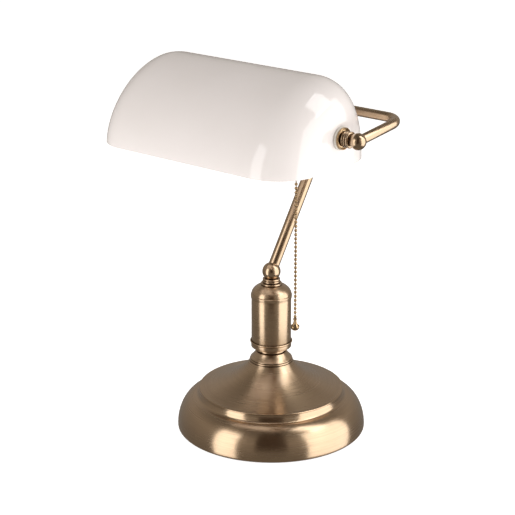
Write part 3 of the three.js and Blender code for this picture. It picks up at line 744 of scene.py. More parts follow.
@dataclass(frozen=True)
class Rubber(Finish):
    """Moulded elastomer with a dull skin."""

    slot: str = "pale_rubber"
    light: Colour = (0.80, 0.765, 0.70)
    dark: Colour = (0.66, 0.61, 0.54)

    def draw(self, board: Board) -> None:
        """Draws a faint mottling and a matt skin."""
        at = board.place()
        mottle = board.noise(at, 260.0, 4.0, 0.6)
        skin = board.noise(at, 3200.0, 2.0, 0.5)
        board.two_tone(mottle, self.dark, self.light)
        board.surface("Roughness", board.spread(skin, 0.5, 0.72))
        board.relief(skin, 0.02)
        board.set(Specular_IOR_Level=0.4)


@dataclass(frozen=True)
class Speckled(Finish):
    """A plain material whose two tones and whose sheen follow one speckle."""

    light: Colour = (0.5, 0.5, 0.5)
    dark: Colour = (0.4, 0.4, 0.4)
    grain: tuple[float, float, float] = (400.0, 5.0, 0.6)
    sheen: tuple[float, float] = (0.4, 0.6)
    depth: float = 0.03
    glaze: float = 0.0

    def draw(self, board: Board) -> None:
        """Draws the speckle, from glossy to dull, under a glaze if there is one."""
        speckle = board.noise(board.place(), *self.grain)
        board.two_tone(speckle, self.dark, self.light)
        board.surface("Roughness", board.spread(speckle, *self.sheen))
        board.relief(speckle, self.depth)
        board.set(Coat_Weight=self.glaze, Coat_Roughness=0.04)


CAST_IRON = Speckled(
    "cast_iron", (0.075, 0.075, 0.08), (0.028, 0.028, 0.03), (520.0, 6.0, 0.65), (0.6, 0.85), 0.35
)
PORCELAIN = Speckled(
    "insulation", (0.84, 0.81, 0.74), (0.70, 0.66, 0.58), (380.0, 5.0, 0.6), (0.42, 0.6), 0.03
)
FROSTED_GLASS = Speckled(
    "bulb_glass", (0.93, 0.925, 0.91), (0.86, 0.85, 0.83), (120.0, 4.0, 0.55), (0.16, 0.26), 0.02, 0.6
)


def dress(piece: Object, node: str, finish: Finish) -> Object:
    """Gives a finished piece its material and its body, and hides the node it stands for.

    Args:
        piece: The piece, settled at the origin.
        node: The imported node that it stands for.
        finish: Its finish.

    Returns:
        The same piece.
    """
    piece.data.materials.clear()
    piece.data.materials.append(finish.material())
    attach(piece, body_of_node(node))
    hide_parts(node)
    log.info("%s: %d faces, for %s", piece.name, len(piece.data.polygons), node)
    return piece


def dress_packed(node: str, finish: Finish) -> None:
    """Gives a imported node, kept as it is, a better material."""
    piece = frame["nodes"][node]
    if piece.material_slots:
        for held in piece.material_slots:
            held.material = finish.material()
    else:
        piece.data.materials.append(finish.material())
    log.info("%s: kept as packed, with a new finish", node)


# ---- Foot ----


@dataclass
class Foot:
    """The spun base with its felt, its cord grommet and what clamps it to the column."""

    wall: float = 1.4
    dome_top: Point = (70.4, 31.2)
    widest: float = 2.0
    step: Point = (67.6, 39.3)
    neck_radius: float = 20.4
    cone_pull: Point = (32.0, 48.0)
    lip: float = 0.75
    steps: int = 160
    grommet_radius: float = 4.5
    cord_radius: float = 2.6
    finish: Finish = field(default_factory=lambda: BrushedBrass(directional=0.8, polished_beyond=67.0))

    def __post_init__(self) -> None:
        """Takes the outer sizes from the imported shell."""
        self.radius, self.lift, self.top = Extent.turned("base_shell")

    def outline(self) -> Profile:
        """The shell's outside, from the rim to the rod hole."""
        dome_radii = (self.radius - self.dome_top[0], self.dome_top[1] - self.widest)
        step_radius, step_height = self.step
        dome = self.dome_top[1]
        riser = [
            (step_radius + 1.5, dome + 2.2),
            (step_radius + 1.4, dome + 2.6),
            (step_radius + 0.5, dome + 4.4),
            (step_radius + 0.3, dome + 6.2),
        ]
        return [
            *arc((self.radius - 1.4, self.lift + 1.4), (1.4, 1.4), -90, -20, 5),
            *arc((self.dome_top[0], self.widest), dome_radii, 2, 78, 30),
            *sweep((step_radius + 4.6, dome - 0.15), (step_radius + 2.2, dome + 0.1), *riser[:1], 8),
            *sweep(*riser[1:], 6),
            *arc((step_radius - 0.2, step_height - 0.75), (self.lip + 0.3, self.lip), -60, 75, 9),
            *sweep((step_radius - 1.2, step_height + 0.1), self.cone_pull, (self.neck_radius, self.top), 36),
            (ROD_HOLE, self.top),
        ]

    def lining(self) -> Profile:
        """The shell's inside, from the rod hole back to the rim."""
        dome_radii = (self.radius - self.dome_top[0] - self.wall, self.dome_top[1] - self.widest - self.wall)
        step = (self.step[0] - self.wall, self.step[1] - self.wall)
        pulled = (self.cone_pull[0] - self.wall, self.cone_pull[1] - self.wall)
        return [
            (ROD_HOLE, self.top - self.wall),
            *sweep((self.neck_radius - self.wall, self.top - self.wall), pulled, step, 12),
            (self.step[0] + 1.0, self.dome_top[1] - 1.2),
            *arc((self.dome_top[0], self.widest), dome_radii, 78, 0, 12),
            (self.radius - 2.8, self.lift),
        ]

    def build_shell(self) -> Object:
        """Spins the shell and bores the grommet's hole in its back."""
        shell = UPRIGHT.turn("base_shell_piece", [*self.outline(), *self.lining()], self.steps)
        grommet = Extent.of("cord_grommet").middle
        start = Vector((0, self.radius - 20, grommet.z))
        bore(shell, rod_between("drill", self.grommet_radius + GAP, start, start + Vector((0, 30, 0))))
        return smooth(shell, 42)

    def build_felt(self) -> Object:
        """Presses the felt disc with a soft edge."""
        radius, _, thick = Extent.turned("felt_pad")
        edge = arc((radius - 0.5, 0.5), (0.5, 0.5), -90, 0, 4)
        profile = [(0, 0), *edge, (radius, thick - 0.2), (radius - 0.3, thick), (0, thick)]
        return smooth(UPRIGHT.turn("felt_pad_piece", profile, 128, closed=False))

    def build_grommet(self) -> Object:
        """Turns the soft bush of the cord hole about the line that runs out of the back."""
        box = Extent.of("cord_grommet")
        line = Spindle(Vector((0, 0, box.middle.z)), Vector((0, 1, 0)), Vector((0, 0, 1)))
        near, far = box.low.y, box.high.y
        collar = box.high.z - box.middle.z
        bore_radius = self.cord_radius
        profile = [
            (bore_radius, near),
            (self.grommet_radius, near),
            (self.grommet_radius, far - 1.8),
            (collar, far - 1.8),
            *arc((collar - 1.1, far - 1.1), (1.1, 1.1), 0, 90, 6),
            *arc((bore_radius + 0.7, far - 0.7), (0.7, 0.7), 90, 180, 5),
        ]
        return smooth(line.turn("cord_grommet_piece", profile, 48))

    def make(self) -> None:
        """Builds and dresses the foot."""
        dress(self.build_shell(), "base_shell", self.finish)
        dress(self.build_felt(), "felt_pad", Felt())
        brown = Rubber(light=(0.10, 0.085, 0.07), dark=(0.05, 0.042, 0.035))
        dress(self.build_grommet(), "cord_grommet", brown)
        dress_packed("ballast_weight", CAST_IRON)
        for node in ("base_washer", "base_nut", "tie_rod"):
            dress_packed(node, PlainSteel())


# ---- Column ----


@dataclass
class Column:
    """The short column: bead ring, bell, cup, sleeve, cap, flange and the ribbed collar of the swivel."""

    bell_top: float = 14.5
    cup_foot: float = 14.0
    sleeve_wall: float = 1.2
    cap_band: float = 3.4
    wire_way: float = 3.4
    rib_count: int = 2
    steps: int = 96
    finish: Finish = field(
        default_factory=lambda: BrushedBrass(
            dark=(0.57, 0.41, 0.262),
            roughness=0.30,
            directional=0.7,
            lines=2600.0,
            line_depth=0.0,
            groove=1.8,
        )
    )

    def ring_profile(self) -> Profile:
        """A bead round the top of the foot."""
        radius, low, high = Extent.turned("neck_ring")
        bead = arc((radius - 1.0, (low + high) / 2), (1.0, (high - low) / 2), -86, 86, 14)
        return [(ROD_HOLE, low), *bead, (ROD_HOLE, high)]

    def bell_profile(self) -> Profile:
        """The flare between the bead ring and the cup."""
        radius, low, high = Extent.turned("neck_bell")
        pulled = (self.bell_top + 2.3, low + (high - low) * 0.45)
        flare = sweep((radius, low + 0.7), pulled, (self.bell_top, high), 16)
        return [(ROD_HOLE, low), (radius - 0.3, low), (radius, low + 0.3), *flare, (ROD_HOLE, high)]

    def cup_profile(self) -> Profile:
        """A bead and a bowl that opens into the lip."""
        rim, low, high = Extent.turned("column_cup")
        sleeve_radius, sleeve_foot, _ = Extent.turned("column_sleeve")
        seat = sleeve_foot - GAP
        wall = sleeve_radius + GAP
        foot = self.cup_foot
        return [
            (ROD_HOLE, low),
            (foot - 1.4, low),
            *arc((foot - 1.6, low + 1.55), (1.6, 1.45), -70, 70, 10),
            (foot - 0.8, low + 3.2),
            (foot + 0.4, low + 3.5),
            *sweep((foot + 0.7, low + 3.6), (foot + 2.7, low + 4.8), (rim - 1.7, low + 7.7), 10),
            (rim - 1.75, low + 8.2),
            (rim - 0.9, low + 8.6),
            *arc((rim - 0.6, high - 0.75), (0.6, 0.75), -70, 150, 12),
            (wall, high - 1.4),
            (wall, seat),
            (ROD_HOLE, seat),
        ]

    def sleeve_profile(self) -> Profile:
        """The plain tube of the column."""
        radius, low, high = Extent.turned("column_sleeve")
        return plain_ring(radius - self.sleeve_wall, radius, low, high)

    def cap_profile(self) -> Profile:
        """A narrow band, a groove and a high dome."""
        radius, low, high = Extent.turned("column_cap")
        sleeve_radius, _, sleeve_top = Extent.turned("column_sleeve")
        flange = Extent.of("cap_flange").high.x
        over = sleeve_radius + GAP
        seat = sleeve_top + GAP
        dome = low + self.cap_band
        return [
            (over, low),
            (radius - 0.35, low),
            (radius - 0.1, low + 0.2),
            *sweep((radius - 0.1, low + 1.0), (radius + 0.15, low + 2.2), (radius, dome - 0.5), 6),
            (radius - 0.35, dome - 0.2),
            (radius - 0.65, dome + 0.1),
            (radius - 0.4, dome + 0.4),
            *sweep((radius - 0.45, dome + 0.7), (radius - 1.5, dome + 6.3), (flange + 0.4, high), 24),
            (ROD_HOLE, high),
            (ROD_HOLE, high - 3),
            (flange - 2, high - 3.2),
            (sleeve_radius - self.sleeve_wall - GAP, seat),
            (over, seat),
        ]

    def flange_profile(self) -> Profile:
        """The thin round plate on the cap."""
        radius, low, high = Extent.turned("cap_flange")
        edge = arc((radius - 0.9, (low + high) / 2), (0.9, (high - low) / 2), -88, 88, 12)
        return [(ROD_HOLE, low), *edge, (ROD_HOLE, high)]

    def collar_profile(self) -> Profile:
        """The ribs that the swivel ball sits on."""
        return ribbed(self.wire_way, *Extent.turned("swivel_collar"), self.rib_count)

    def make(self) -> None:
        """Builds and dresses the column."""
        profiles: dict[str, Callable[[], Profile]] = {
            "neck_ring": self.ring_profile,
            "neck_bell": self.bell_profile,
            "column_cup": self.cup_profile,
            "column_sleeve": self.sleeve_profile,
            "column_cap": self.cap_profile,
            "cap_flange": self.flange_profile,
            "swivel_collar": self.collar_profile,
        }
        for node, profile in profiles.items():
            piece = UPRIGHT.turn(f"{node}_piece", profile(), self.steps)
            ease_edges(piece, 0.14, angle=48)
            dress(smooth(piece), node, self.finish)


def ribbed(bore_radius: float, rib_radius: float, low: float, high: float, ribs: int) -> Profile:
    """A closed ring profile with round ribs outside.

    Args:
        bore_radius: Radius of the hole.
        rib_radius: Radius over the ribs.
        low: Where the ring starts along its axis.
        high: Where it ends.
        ribs: Number of ribs.

    Returns:
        The profile.
    """
    pitch = (high - low) / ribs
    depth = min(1.25, pitch * 0.5)
    outside: Profile = []
    for i in range(ribs):
        middle = low + pitch * (i + 0.5)
        outside += arc((rib_radius - depth, middle), (depth, pitch * 0.485), -84, 84, 12)
    return [(bore_radius, low), *outside, (bore_radius, high)]


# ---- Stem and yoke ----

YOKE_TUBE = DrawnTube(4.3, 1.0)


@dataclass
class Stem:
    """The swivel ball, the leaning tube with its gooseneck and the hub behind the shade."""

    ball_radius: float = 8.6
    ball_seat: float = 0.71
    lean: float = math.radians(33.5)
    straight: float = 93.0
    socket: float = 0.25
    tube: DrawnTube = DrawnTube(5.2, 1.0, 44)
    hub_radius: float = 7.4
    bar_reach: float = 62.4
    bar_rise: float = 7.1

    def __post_init__(self) -> None:
        """Finds the ball, the back bar and the bend between them."""
        seat = Extent.of("stem_ball").low.z
        pivot = pivot_point()
        self.foot = Vector((0, 0, seat + self.ball_radius * self.ball_seat))
        self.bar = pivot + Vector((0, self.bar_reach, self.bar_rise))
        self.heading = Vector((0, math.sin(self.lean), math.cos(self.lean)))
        inward = Vector((0, -math.cos(self.lean), math.sin(self.lean)))
        start = self.foot + self.heading * self.straight
        chord = self.bar - start
        radius = chord.length_squared / (2 * chord.dot(inward))
        angle = 2 * math.asin(chord.length / (2 * radius)) - (YOKE_TUBE.radius + GAP) / radius
        self.elbow = Elbow(start, self.heading, inward, radius, angle)

    def build_ball(self) -> Object:
        """Turns the swivel ball with its flat and the socket of the tube."""
        flat = Vector((0, 0, Extent.of("stem_ball").low.z))
        ball = trimmed_ball("stem_ball_piece", self.ball_radius, self.foot, (flat, Vector((0, 0, -1))))
        inside = self.foot + self.heading * (self.ball_radius * self.socket - GAP)
        outside = self.foot + self.heading * self.ball_radius * 2
        bore(ball, rod_between("drill", self.tube.radius + SNUG, inside, outside))
        return smooth(ball, 35)

    def build_tube(self) -> Object:
        """Draws the tube from the ball to the hub."""
        start = self.foot + self.heading * self.ball_radius * self.socket
        return self.tube.build("stem_tube_piece", start, self.elbow, 0.0, 40)

    def build_hub(self) -> Object:
        """Turns the ball-shaped hub that joins the tube to the back bar, with a flat at each side."""
        side = Vector((Extent.of("yoke_hub").high.x, 0, 0))
        flats = ((self.bar + side * sign, Vector((sign, 0, 0))) for sign in (1, -1))
        hub = trimmed_ball("yoke_hub_piece", self.hub_radius, self.bar, *flats)
        entry = self.elbow.end
        bore(
            hub,
            rod_between("drill", YOKE_TUBE.radius + SNUG, self.bar - side * 2, self.bar + side * 2),
            rod_between("drill", self.tube.radius + SNUG, entry, entry - self.elbow.end_heading * 20),
        )
        return smooth(hub, 35)

    def make(self) -> None:
        """Builds and dresses the stem."""
        centre = tuple(self.foot)
        satin = BrushedBrass(roughness=0.22, directional=0.3, line_depth=0.006, centre=centre, groove=0.8)
        dress(self.build_ball(), "stem_ball", satin)
        dress(self.build_tube(), "stem_tube", DrawnBrass())
        dress(self.build_hub(), "yoke_hub", DrawnBrass(roughness=0.22))


class Side(Enum):
    """The two ends of the yoke, with the direction in which each lies."""

    RIGHT = 1
    LEFT = -1

    @property
    def word(self) -> str:
        """The side's name in a node."""
        return self.name.lower()

    def outward(self) -> Vector:
        """The direction away from the lamp's middle."""
        return Vector((self.value, 0, 0))


def pivot_point() -> Vector:
    """The middle of the axis that the shade tilts about."""
    nut = Extent.of("thumb_nut_right").middle
    return Vector((0, nut.y, nut.z))


@dataclass
class YokeArm:
    """One half of the U with its end ball."""

    side: Side
    bar: Vector
    bend: float = 15.0
    ball_radius: float = 7.2
    tube: DrawnTube = YOKE_TUBE

    def __post_init__(self) -> None:
        """Finds the end ball and the bend."""
        pivot = pivot_point()
        ball_box = Extent.of(f"pivot_ball_{self.side.word}")
        far = ball_box.high.x if self.side is Side.RIGHT else -ball_box.low.x
        near = ball_box.low.x if self.side is Side.RIGHT else -ball_box.high.x
        out = self.side.outward()
        self.ball = pivot + out * (far - self.ball_radius)
        self.flat = pivot + out * near
        self.heading = (pivot - self.bar).normalized()
        start = self.bar + out * (far - self.ball_radius - self.bend)
        self.elbow = Elbow(start, out, self.heading, self.bend, math.pi / 2)

    def build_arm(self) -> Object:
        """Draws the tube along the back bar, round the bend and forward to the ball."""
        start = self.bar + self.side.outward() * 0.4
        end = self.ball - self.heading * (THREAD_RADIUS + GAP)
        last = (end - self.elbow.end).dot(self.heading)
        return self.tube.build(f"yoke_arm_{self.side.word}_piece", start, self.elbow, last, 28)

    def build_ball(self) -> Object:
        """Turns the end ball with its flat, the arm's socket and the thread's hole."""
        out = self.side.outward()
        name = f"pivot_ball_{self.side.word}_piece"
        ball = trimmed_ball(name, self.ball_radius, self.ball, (self.flat, -out))
        socket = self.ball - self.heading * THREAD_RADIUS
        mouth = self.ball - self.heading * self.ball_radius * 2
        bore(
            ball,
            rod_between("drill", self.tube.radius + SNUG, socket, mouth),
            rod_between("drill", THREAD_RADIUS + 0.2, self.ball + out * GAP, self.ball - out * 14),
        )
        return smooth(ball, 35)

    def make(self) -> None:
        """Builds and dresses the arm."""
        word = self.side.word
        dress(self.build_arm(), f"yoke_arm_{word}", DrawnBrass())
        dress(self.build_ball(), f"pivot_ball_{word}", DrawnBrass(roughness=0.2))


@dataclass
class Pivot:
    """The hardware that clamps the glass at one end, from the inner nut to the ribbed thumb nut."""

    side: Side
    hole: float = 6.2
    turning: float = THREAD_RADIUS + 0.4
    bore_radius: float = THREAD_RADIUS + GAP
    flange: float = 2.0
    nut_corner: float = 8.2
    dish: float = 7.2
    steps: int = 72

    def __post_init__(self) -> None:
        """Sets the spindle along the pivot axis."""
        self.spindle = Spindle(pivot_point(), self.side.outward(), Vector((0, 0, 1)))
        self.satin = BrushedBrass(
            roughness=0.24,
            directional=0.55,
            centre=tuple(pivot_point()),
            turn=(0.0, math.pi / 2, 0.0),
            groove=1.6,
        )

    def span(self, kind: str) -> tuple[str, float, float, float]:
        """The node of a kind on this side, its ends along the axis and its radius."""
        node = f"{kind}_{self.side.word}"
        box = Extent.of(node)
        ends = sorted((box.low.x * self.side.value, box.high.x * self.side.value))
        return node, ends[0], ends[1], (box.high.z - box.low.z) / 2

    def build_outer_gasket(self) -> Object:
        """Moulds the flanged gasket that also lines the hole in the glass."""
        node, near, far, radius = self.span("outer_gasket")
        turning = self.turning
        flange = far - self.flange
        profile = [
            (turning, near),
            (self.hole, near),
            (self.hole, flange),
            *arc((radius - 0.4, flange + 0.4), (0.4, 0.4), -90, 0, 4),
            *arc((radius - 0.5, far - 0.5), (0.5, 0.5), 0, 90, 5),
            (turning, far),
        ]
        return smooth(self.spindle.turn(f"{node}_piece", profile, self.steps))

    def build_washer(self) -> Object:
        """Turns the dished washer with its bright rolled rim."""
        node, near, far, radius = self.span("outer_washer")
        bore_radius = self.bore_radius
        profile = [
            (bore_radius, near),
            (radius - 0.4, near),
            *arc((radius - 0.55, near + 0.5), (0.55, 0.5), -70, 0, 4),
            *arc((radius - 0.55, far - 0.55), (0.55, 0.55), 0, 150, 9),
            (radius - 1.7, far - 0.85),
            (self.dish, far - 0.55),
            (bore_radius, far - 0.5),
        ]
        return smooth(self.spindle.turn(f"{node}_piece", profile, self.steps))

    def build_thumb_nut(self) -> Object:
        """Turns the ribbed nut."""
        node, near, far, radius = self.span("thumb_nut")
        profile = ribbed(self.bore_radius, radius, near, far, 3)
        return smooth(self.spindle.turn(f"{node}_piece", profile, self.steps))

    def build_inner_gasket(self) -> Object:
        """Moulds the flat gasket inside the glass."""
        node, near, far, radius = self.span("inner_gasket")
        piece = self.spindle.turn(f"{node}_piece", plain_ring(self.turning, radius, near, far), 48)
        ease_edges(piece, 0.3, 3)
        return smooth(piece)

    def build_inner_nut(self) -> Object:
        """Cuts the hexagon nut with chamfered corners."""
        node, near, far, _ = self.span("inner_nut")
        profile = plain_ring(self.bore_radius, self.nut_corner, near, far)
        piece = self.spindle.turn(f"{node}_piece", profile, 6)
        ease_edges(piece, 0.35, 3)
        return smooth(piece, 25)

    def make(self) -> None:
        """Builds and dresses one end's hardware."""
        word = self.side.word
        dress(self.build_outer_gasket(), f"outer_gasket_{word}", Rubber())
        dress(self.build_washer(), f"outer_washer_{word}", PolishedBrass(roughness=0.18))
        dress(self.build_thumb_nut(), f"thumb_nut_{word}", self.satin)
        dress(self.build_inner_gasket(), f"inner_gasket_{word}", Rubber())
        dress(self.build_inner_nut(), f"inner_nut_{word}", PlainSteel())
        dress_packed("pivot_nipple_right" if self.side is Side.RIGHT else "pivot_screw_left", PlainSteel())


# ---- Glass shade ----


@dataclass
class Shade:
    """The tilting glass: a long hood with a flatter back, a fuller front and rounded ends."""

    ridge: float = 2.9
    corner: float = 37.0
    wall: float = 3.0
    front_fullness: float = 1.72
    rear_fullness: float = 2.2
    hole: float = 6.5
    end_rows: int = 14
    corner_rows: int = 24
    middle_rows: int = 20
    around: int = 112

    def __post_init__(self) -> None:
        """Takes the glass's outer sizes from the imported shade."""
        box = Extent.of("glass_shade")
        self.pivot = pivot_point()
        self.half_length = box.high.x
        self.edge = box.low.z
        self.height = box.high.z - box.low.z
        self.ridge_y = self.pivot.y + self.ridge
        self.front = self.ridge_y - box.low.y
        self.rear = box.high.y - self.ridge_y
        self.straight = self.half_length - self.corner

    def stations(self) -> list[tuple[float, float, float]]:
        """Rows from one end to the other, as (side, turn round the corner, share of the drop)."""
        quarter = math.pi / 2
        end = [(quarter, 1 - i / self.end_rows) for i in range(self.end_rows)]
        corner = [(quarter * (1 - i / self.corner_rows), 0.0) for i in range(self.corner_rows)]
        half = [*end, *corner]
        left = [(-1.0, turn, drop) for turn, drop in half]
        right = [(1.0, turn, drop) for turn, drop in reversed(half)]
        middle = [(-1 + 2 * i / self.middle_rows, 0.0, 0.0) for i in range(self.middle_rows + 1)]
        return [*left, *middle, *right]

    def point(self, station: tuple[float, float, float], turn_share: float) -> Vector:
        """A point of the outer skin.

        Args:
            station: The row: side, turn round the corner and share of the drop.
            turn_share: How far round the section, from the front edge at 0 to the rear edge at 1.

        Returns:
            The point in metres.
        """
        side, turn, drop = station
        angle = turn_share * math.pi
        shrink = self.corner * (1 - math.cos(turn))
        forward = math.cos(angle)
        fullness = self.front_fullness if forward > 0 else self.rear_fullness
        reach = (self.front if forward > 0 else self.rear) - shrink
        y = self.ridge_y - math.copysign(reach * abs(forward) ** (2 / fullness), forward)
        z = (self.height - shrink) * abs(math.sin(angle)) ** (2 / fullness)
        x = side * self.straight + math.copysign(self.corner * math.sin(turn), side)
        return Vector((x, y, self.edge + z * (1 - drop))) * MM

    def build_skin(self) -> Object:
        """Adds a fine grid and bends it over the form of the glass."""
        stations = self.stations()
        let_go()
        bpy.ops.mesh.primitive_grid_add(
            x_subdivisions=len(stations) - 1, y_subdivisions=self.around, size=1.0, location=(0, 0, 0)
        )
        skin = named("glass_shade_piece")
        last = len(stations) - 1
        for vertex in skin.data.vertices:
            row = round((vertex.co.x + 0.5) * last)
            vertex.co = self.point(stations[row], min(max(vertex.co.y + 0.5, 0.0), 1.0))
        heal(skin)
        return skin

    def build(self) -> Object:
        """Gives the skin its wall, drills the two pivot holes and rounds the rim."""
        glass = self.build_skin()
        thicken(glass, self.wall)
        heal(glass)
        for side in Side:
            outside = self.pivot + side.outward() * (self.half_length + 10)
            inside = self.pivot + side.outward() * (self.half_length - 12)
            bore(glass, rod_between("drill", self.hole, outside, inside, 64))
        ease_edges(glass, 0.8, 3, angle=55)
        return smooth(glass, 40)

    def make(self) -> None:
        """Builds and dresses the glass."""
        dress(self.build(), "glass_shade", OpalGlass())


# ---- Lampholder and lamp ----


@dataclass
class Lampholder:
    """The switched lampholder on the hollow right-hand pivot, and the lamp in it."""

    wall: float = 1.2
    thread_pitch: float = 3.6
    thread_turns: int = 5
    guide_hole: float = 3.3
    shoulder: float = 9.0
    bulb_neck: float = 12.0
    steps: int = 80
    brass: Finish = field(default_factory=lambda: PolishedBrass(roughness=0.17))

    def __post_init__(self) -> None:
        """Sets the spindle along the pivot axis, towards the right."""
        self.spindle = Spindle(pivot_point(), Vector((1, 0, 0)), Vector((0, 0, 1)))

    def span(self, node: str) -> tuple[float, float, float]:
        """A node's ends along the axis and its radius."""
        box = Extent.of(node)
        return box.low.x, box.high.x, (box.high.y - box.low.y) / 2

    def cap_profile(self) -> Profile:
        """The domed cap that screws on the nipple."""
        near, far, radius = self.span("holder_cap")
        rise = far - near
        middle = (radius - self.shoulder, near + 2.7)
        outside = arc(middle, (self.shoulder, rise - 4.7), 0, 88, 16)
        inside = arc(middle, (self.shoulder - self.wall, rise - 6.1), 88, 0, 10)
        return [
            (radius, near),
            (radius, near + 1.2),
            *outside,
            (7.4, far - 2),
            (7.0, far),
            (THREAD_RADIUS + GAP, far),
            (THREAD_RADIUS + GAP, far - 5),
            *inside,
            (radius - self.wall, near),
        ]

    def shell_profile(self) -> Profile:
        """The shell with a rolled bead at its mouth and one at the joint."""
        near, far, outer = self.span("holder_shell")
        radius = outer - 0.8
        return [
            (radius - self.wall, near + 0.3),
            *arc((radius - 0.2, near + 1.0), (1.0, 1.0), -120, 80, 12),
            (radius, near + 2.4),
            (radius, far - 5.2),
            *arc((radius, far - 4.4), (0.55, 0.7), -80, 80, 6),
            (radius, far - 3.6),
            (radius, far),
            (radius - self.wall, far),
        ]

    def build_shell(self) -> Object:
        """Turns the shell and bores the hole of the chain guide."""
        shell = self.spindle.turn("holder_shell_piece", self.shell_profile(), self.steps)
        guide = Extent.of("chain_guide").middle
        inside = Vector((guide.x, guide.y, guide.z + 8))
        bore(shell, rod_between("drill", self.guide_hole, inside, inside - Vector((0, 0, 26)), 40))
        return smooth(shell)

    def build_insulator(self) -> Object:
        """Turns the ceramic core with a dished mouth and bores the switch's well."""
        near, far, radius = self.span("holder_insulator")
        edge = arc((radius - 1, near + 1), (1, 1), -90, 0, 5)
        profile = [(0, near), (9, near), *edge, (radius, far), (0, far)]
        core = self.spindle.turn("holder_insulator_piece", profile, 64, closed=False)
        guide = Extent.of("chain_guide").middle
        top = Vector((guide.x, guide.y, pivot_point().z - 5.5))
        bore(core, rod_between("drill", self.guide_hole, top, top - Vector((0, 0, 20)), 40))
        return smooth(core)

    def cap_of_lamp_profile(self) -> Profile:
        """The lamp's screw shell, with its thread as round waves."""
        near, far, radius = self.span("bulb_cap")
        waves: Profile = []
        for i in range(self.thread_turns):
            crest = far - 3 - self.thread_pitch * (i + 0.5)
            waves += [(radius - 1, crest + 1.8), *arc((radius - 1, crest), (1, 1.3), 70, -70, 8)]
        return [
            (0, far),
            (4.6, far),
            (5.0, far - 0.4),
            (8.6, far - 2.6),
            *waves,
            (radius - 1, near),
            (0, near),
        ]

    def globe_profile(self) -> Profile:
        """The lamp's globe, from its neck to its tip."""
        near, far, radius = self.span("bulb_globe")
        neck = self.bulb_neck
        middle = near + radius
        shoulder = (radius * 0.93, middle + radius * 0.36)
        return [
            (0, far),
            (neck - 0.6, far),
            (neck, far - 0.6),
            *sweep((neck, far - 4), (neck + 1.2, far - 25), shoulder, 22),
            *arc((0, middle), (radius, radius), 17, -89, 30),
            (0, near),
        ]

    def make(self) -> None:
        """Builds and dresses the lampholder and the lamp."""
        cap = self.spindle.turn("holder_cap_piece", self.cap_profile(), self.steps)
        ease_edges(cap, 0.15, angle=48)
        dress(smooth(cap), "holder_cap", self.brass)
        dress(self.build_shell(), "holder_shell", self.brass)
        dress(self.build_insulator(), "holder_insulator", PORCELAIN)
        screw = self.spindle.turn("bulb_cap_piece", self.cap_of_lamp_profile(), self.steps, closed=False)
        dress(smooth(screw), "bulb_cap", PlainSteel(roughness=0.26))
        globe = self.spindle.turn("bulb_globe_piece", self.globe_profile(), self.steps, closed=False)
        dress(smooth(globe, 50), "bulb_globe", FROSTED_GLASS)
        dress_packed("centre_contact", self.brass)


# ---- Pull chain ----


@dataclass
class PullChain:
    """The bell-mouthed guide, the bead chain and the turned knob."""

    bead_radius: float = 1.5
    bead_pitch: float = 3.82
    bead_count: int = 39
    link_radius: float = 0.45
    guide_radius: float = 3.0
    guide_bore: float = 1.9
    brass: Finish = field(default_factory=PolishedBrass)

    def __post_init__(self) -> None:
        """Sets the spindle down the chain's line."""
        bead = Extent.of("chain_top_bead").middle
        self.top = bead.z
        self.spindle = Spindle(Vector((bead.x, bead.y, 0)))

    def build_guide(self) -> Object:
        """Turns the guide with its flared mouth."""
        box = Extent.of("chain_guide")
        low, high = box.low.z, box.high.z
        mouth = box.high.x - box.middle.x
        bore_radius, tube = self.guide_bore, self.guide_radius
        profile = [
            *arc((bore_radius + 0.5, low + 0.5), (0.5, 0.5), 180, 270, 4),
            *arc((mouth - 0.5, low + 0.5), (0.5, 0.5), -90, 30, 6),
            *sweep((mouth - 0.5, low + 1.1), (tube, low + 1.3), (tube, low + 2.6), 5),
            (tube, high),
            (bore_radius, high),
        ]
        return smooth(self.spindle.turn("chain_guide_piece", profile, 40))

    def build_top_bead(self) -> Object:
        """Turns the bead that the chain hangs from."""
        profile = arc((0, self.top), (self.bead_radius, self.bead_radius), -90, 90, 12)
        return smooth(self.spindle.turn("chain_top_bead_piece", profile, 20, closed=False))

    def build_chain(self) -> Object:
        """Models one bead with its link and repeats it down the chain."""
        first = self.top - self.bead_pitch
        shoulder = math.degrees(math.asin(self.link_radius / self.bead_radius))
        bead = arc((0, first), (self.bead_radius, self.bead_radius), 90 - shoulder, shoulder - 90, 8)
        below = first - self.bead_pitch + self.bead_radius
        profile = [(0, first + self.bead_radius), *bead, (self.link_radius, below + 0.1), (0, below + 0.1)]
        chain = self.spindle.turn("pull_chain_piece", profile, 12, closed=False)
        apply_modifier(
            chain,
            "ARRAY",
            count=self.bead_count,
            use_relative_offset=False,
            use_constant_offset=True,
            constant_offset_displace=(0, 0, -self.bead_pitch * MM),
        )
        return smooth(chain, 60)

    def build_knob(self) -> Object:
        """Turns the knob: a small collar, a waist and a bell."""
        box = Extent.of("chain_knob")
        top, low = box.high.z, box.low.z
        radius = box.high.x - box.middle.x
        length = top - low
        profile = [
            (0, top),
            (radius * 0.30, top),
            *arc((radius * 0.34, top - 0.55), (radius * 0.16, 0.55), 80, -80, 6),
            (radius * 0.36, top - length * 0.14),
            *sweep(
                (radius * 0.34, top - length * 0.2),
                (radius * 0.42, top - length * 0.44),
                (radius * 0.93, top - length * 0.6),
                12,
            ),
            *arc((0, low + radius * 0.98), (radius, radius * 0.98), 14, -89, 18),
            (0, low),
        ]
        return smooth(self.spindle.turn("chain_knob_piece", profile, 48, closed=False))

    def make(self) -> None:
        """Builds and dresses the chain."""
        dress(self.build_guide(), "chain_guide", self.brass)
        dress(self.build_top_bead(), "chain_top_bead", self.brass)
        dress(self.build_chain(), "pull_chain", self.brass)
        dress(self.build_knob(), "chain_knob", PolishedBrass(roughness=0.1))
        dress_packed("chain_stirrup", self.brass)


# ---- Studio ----


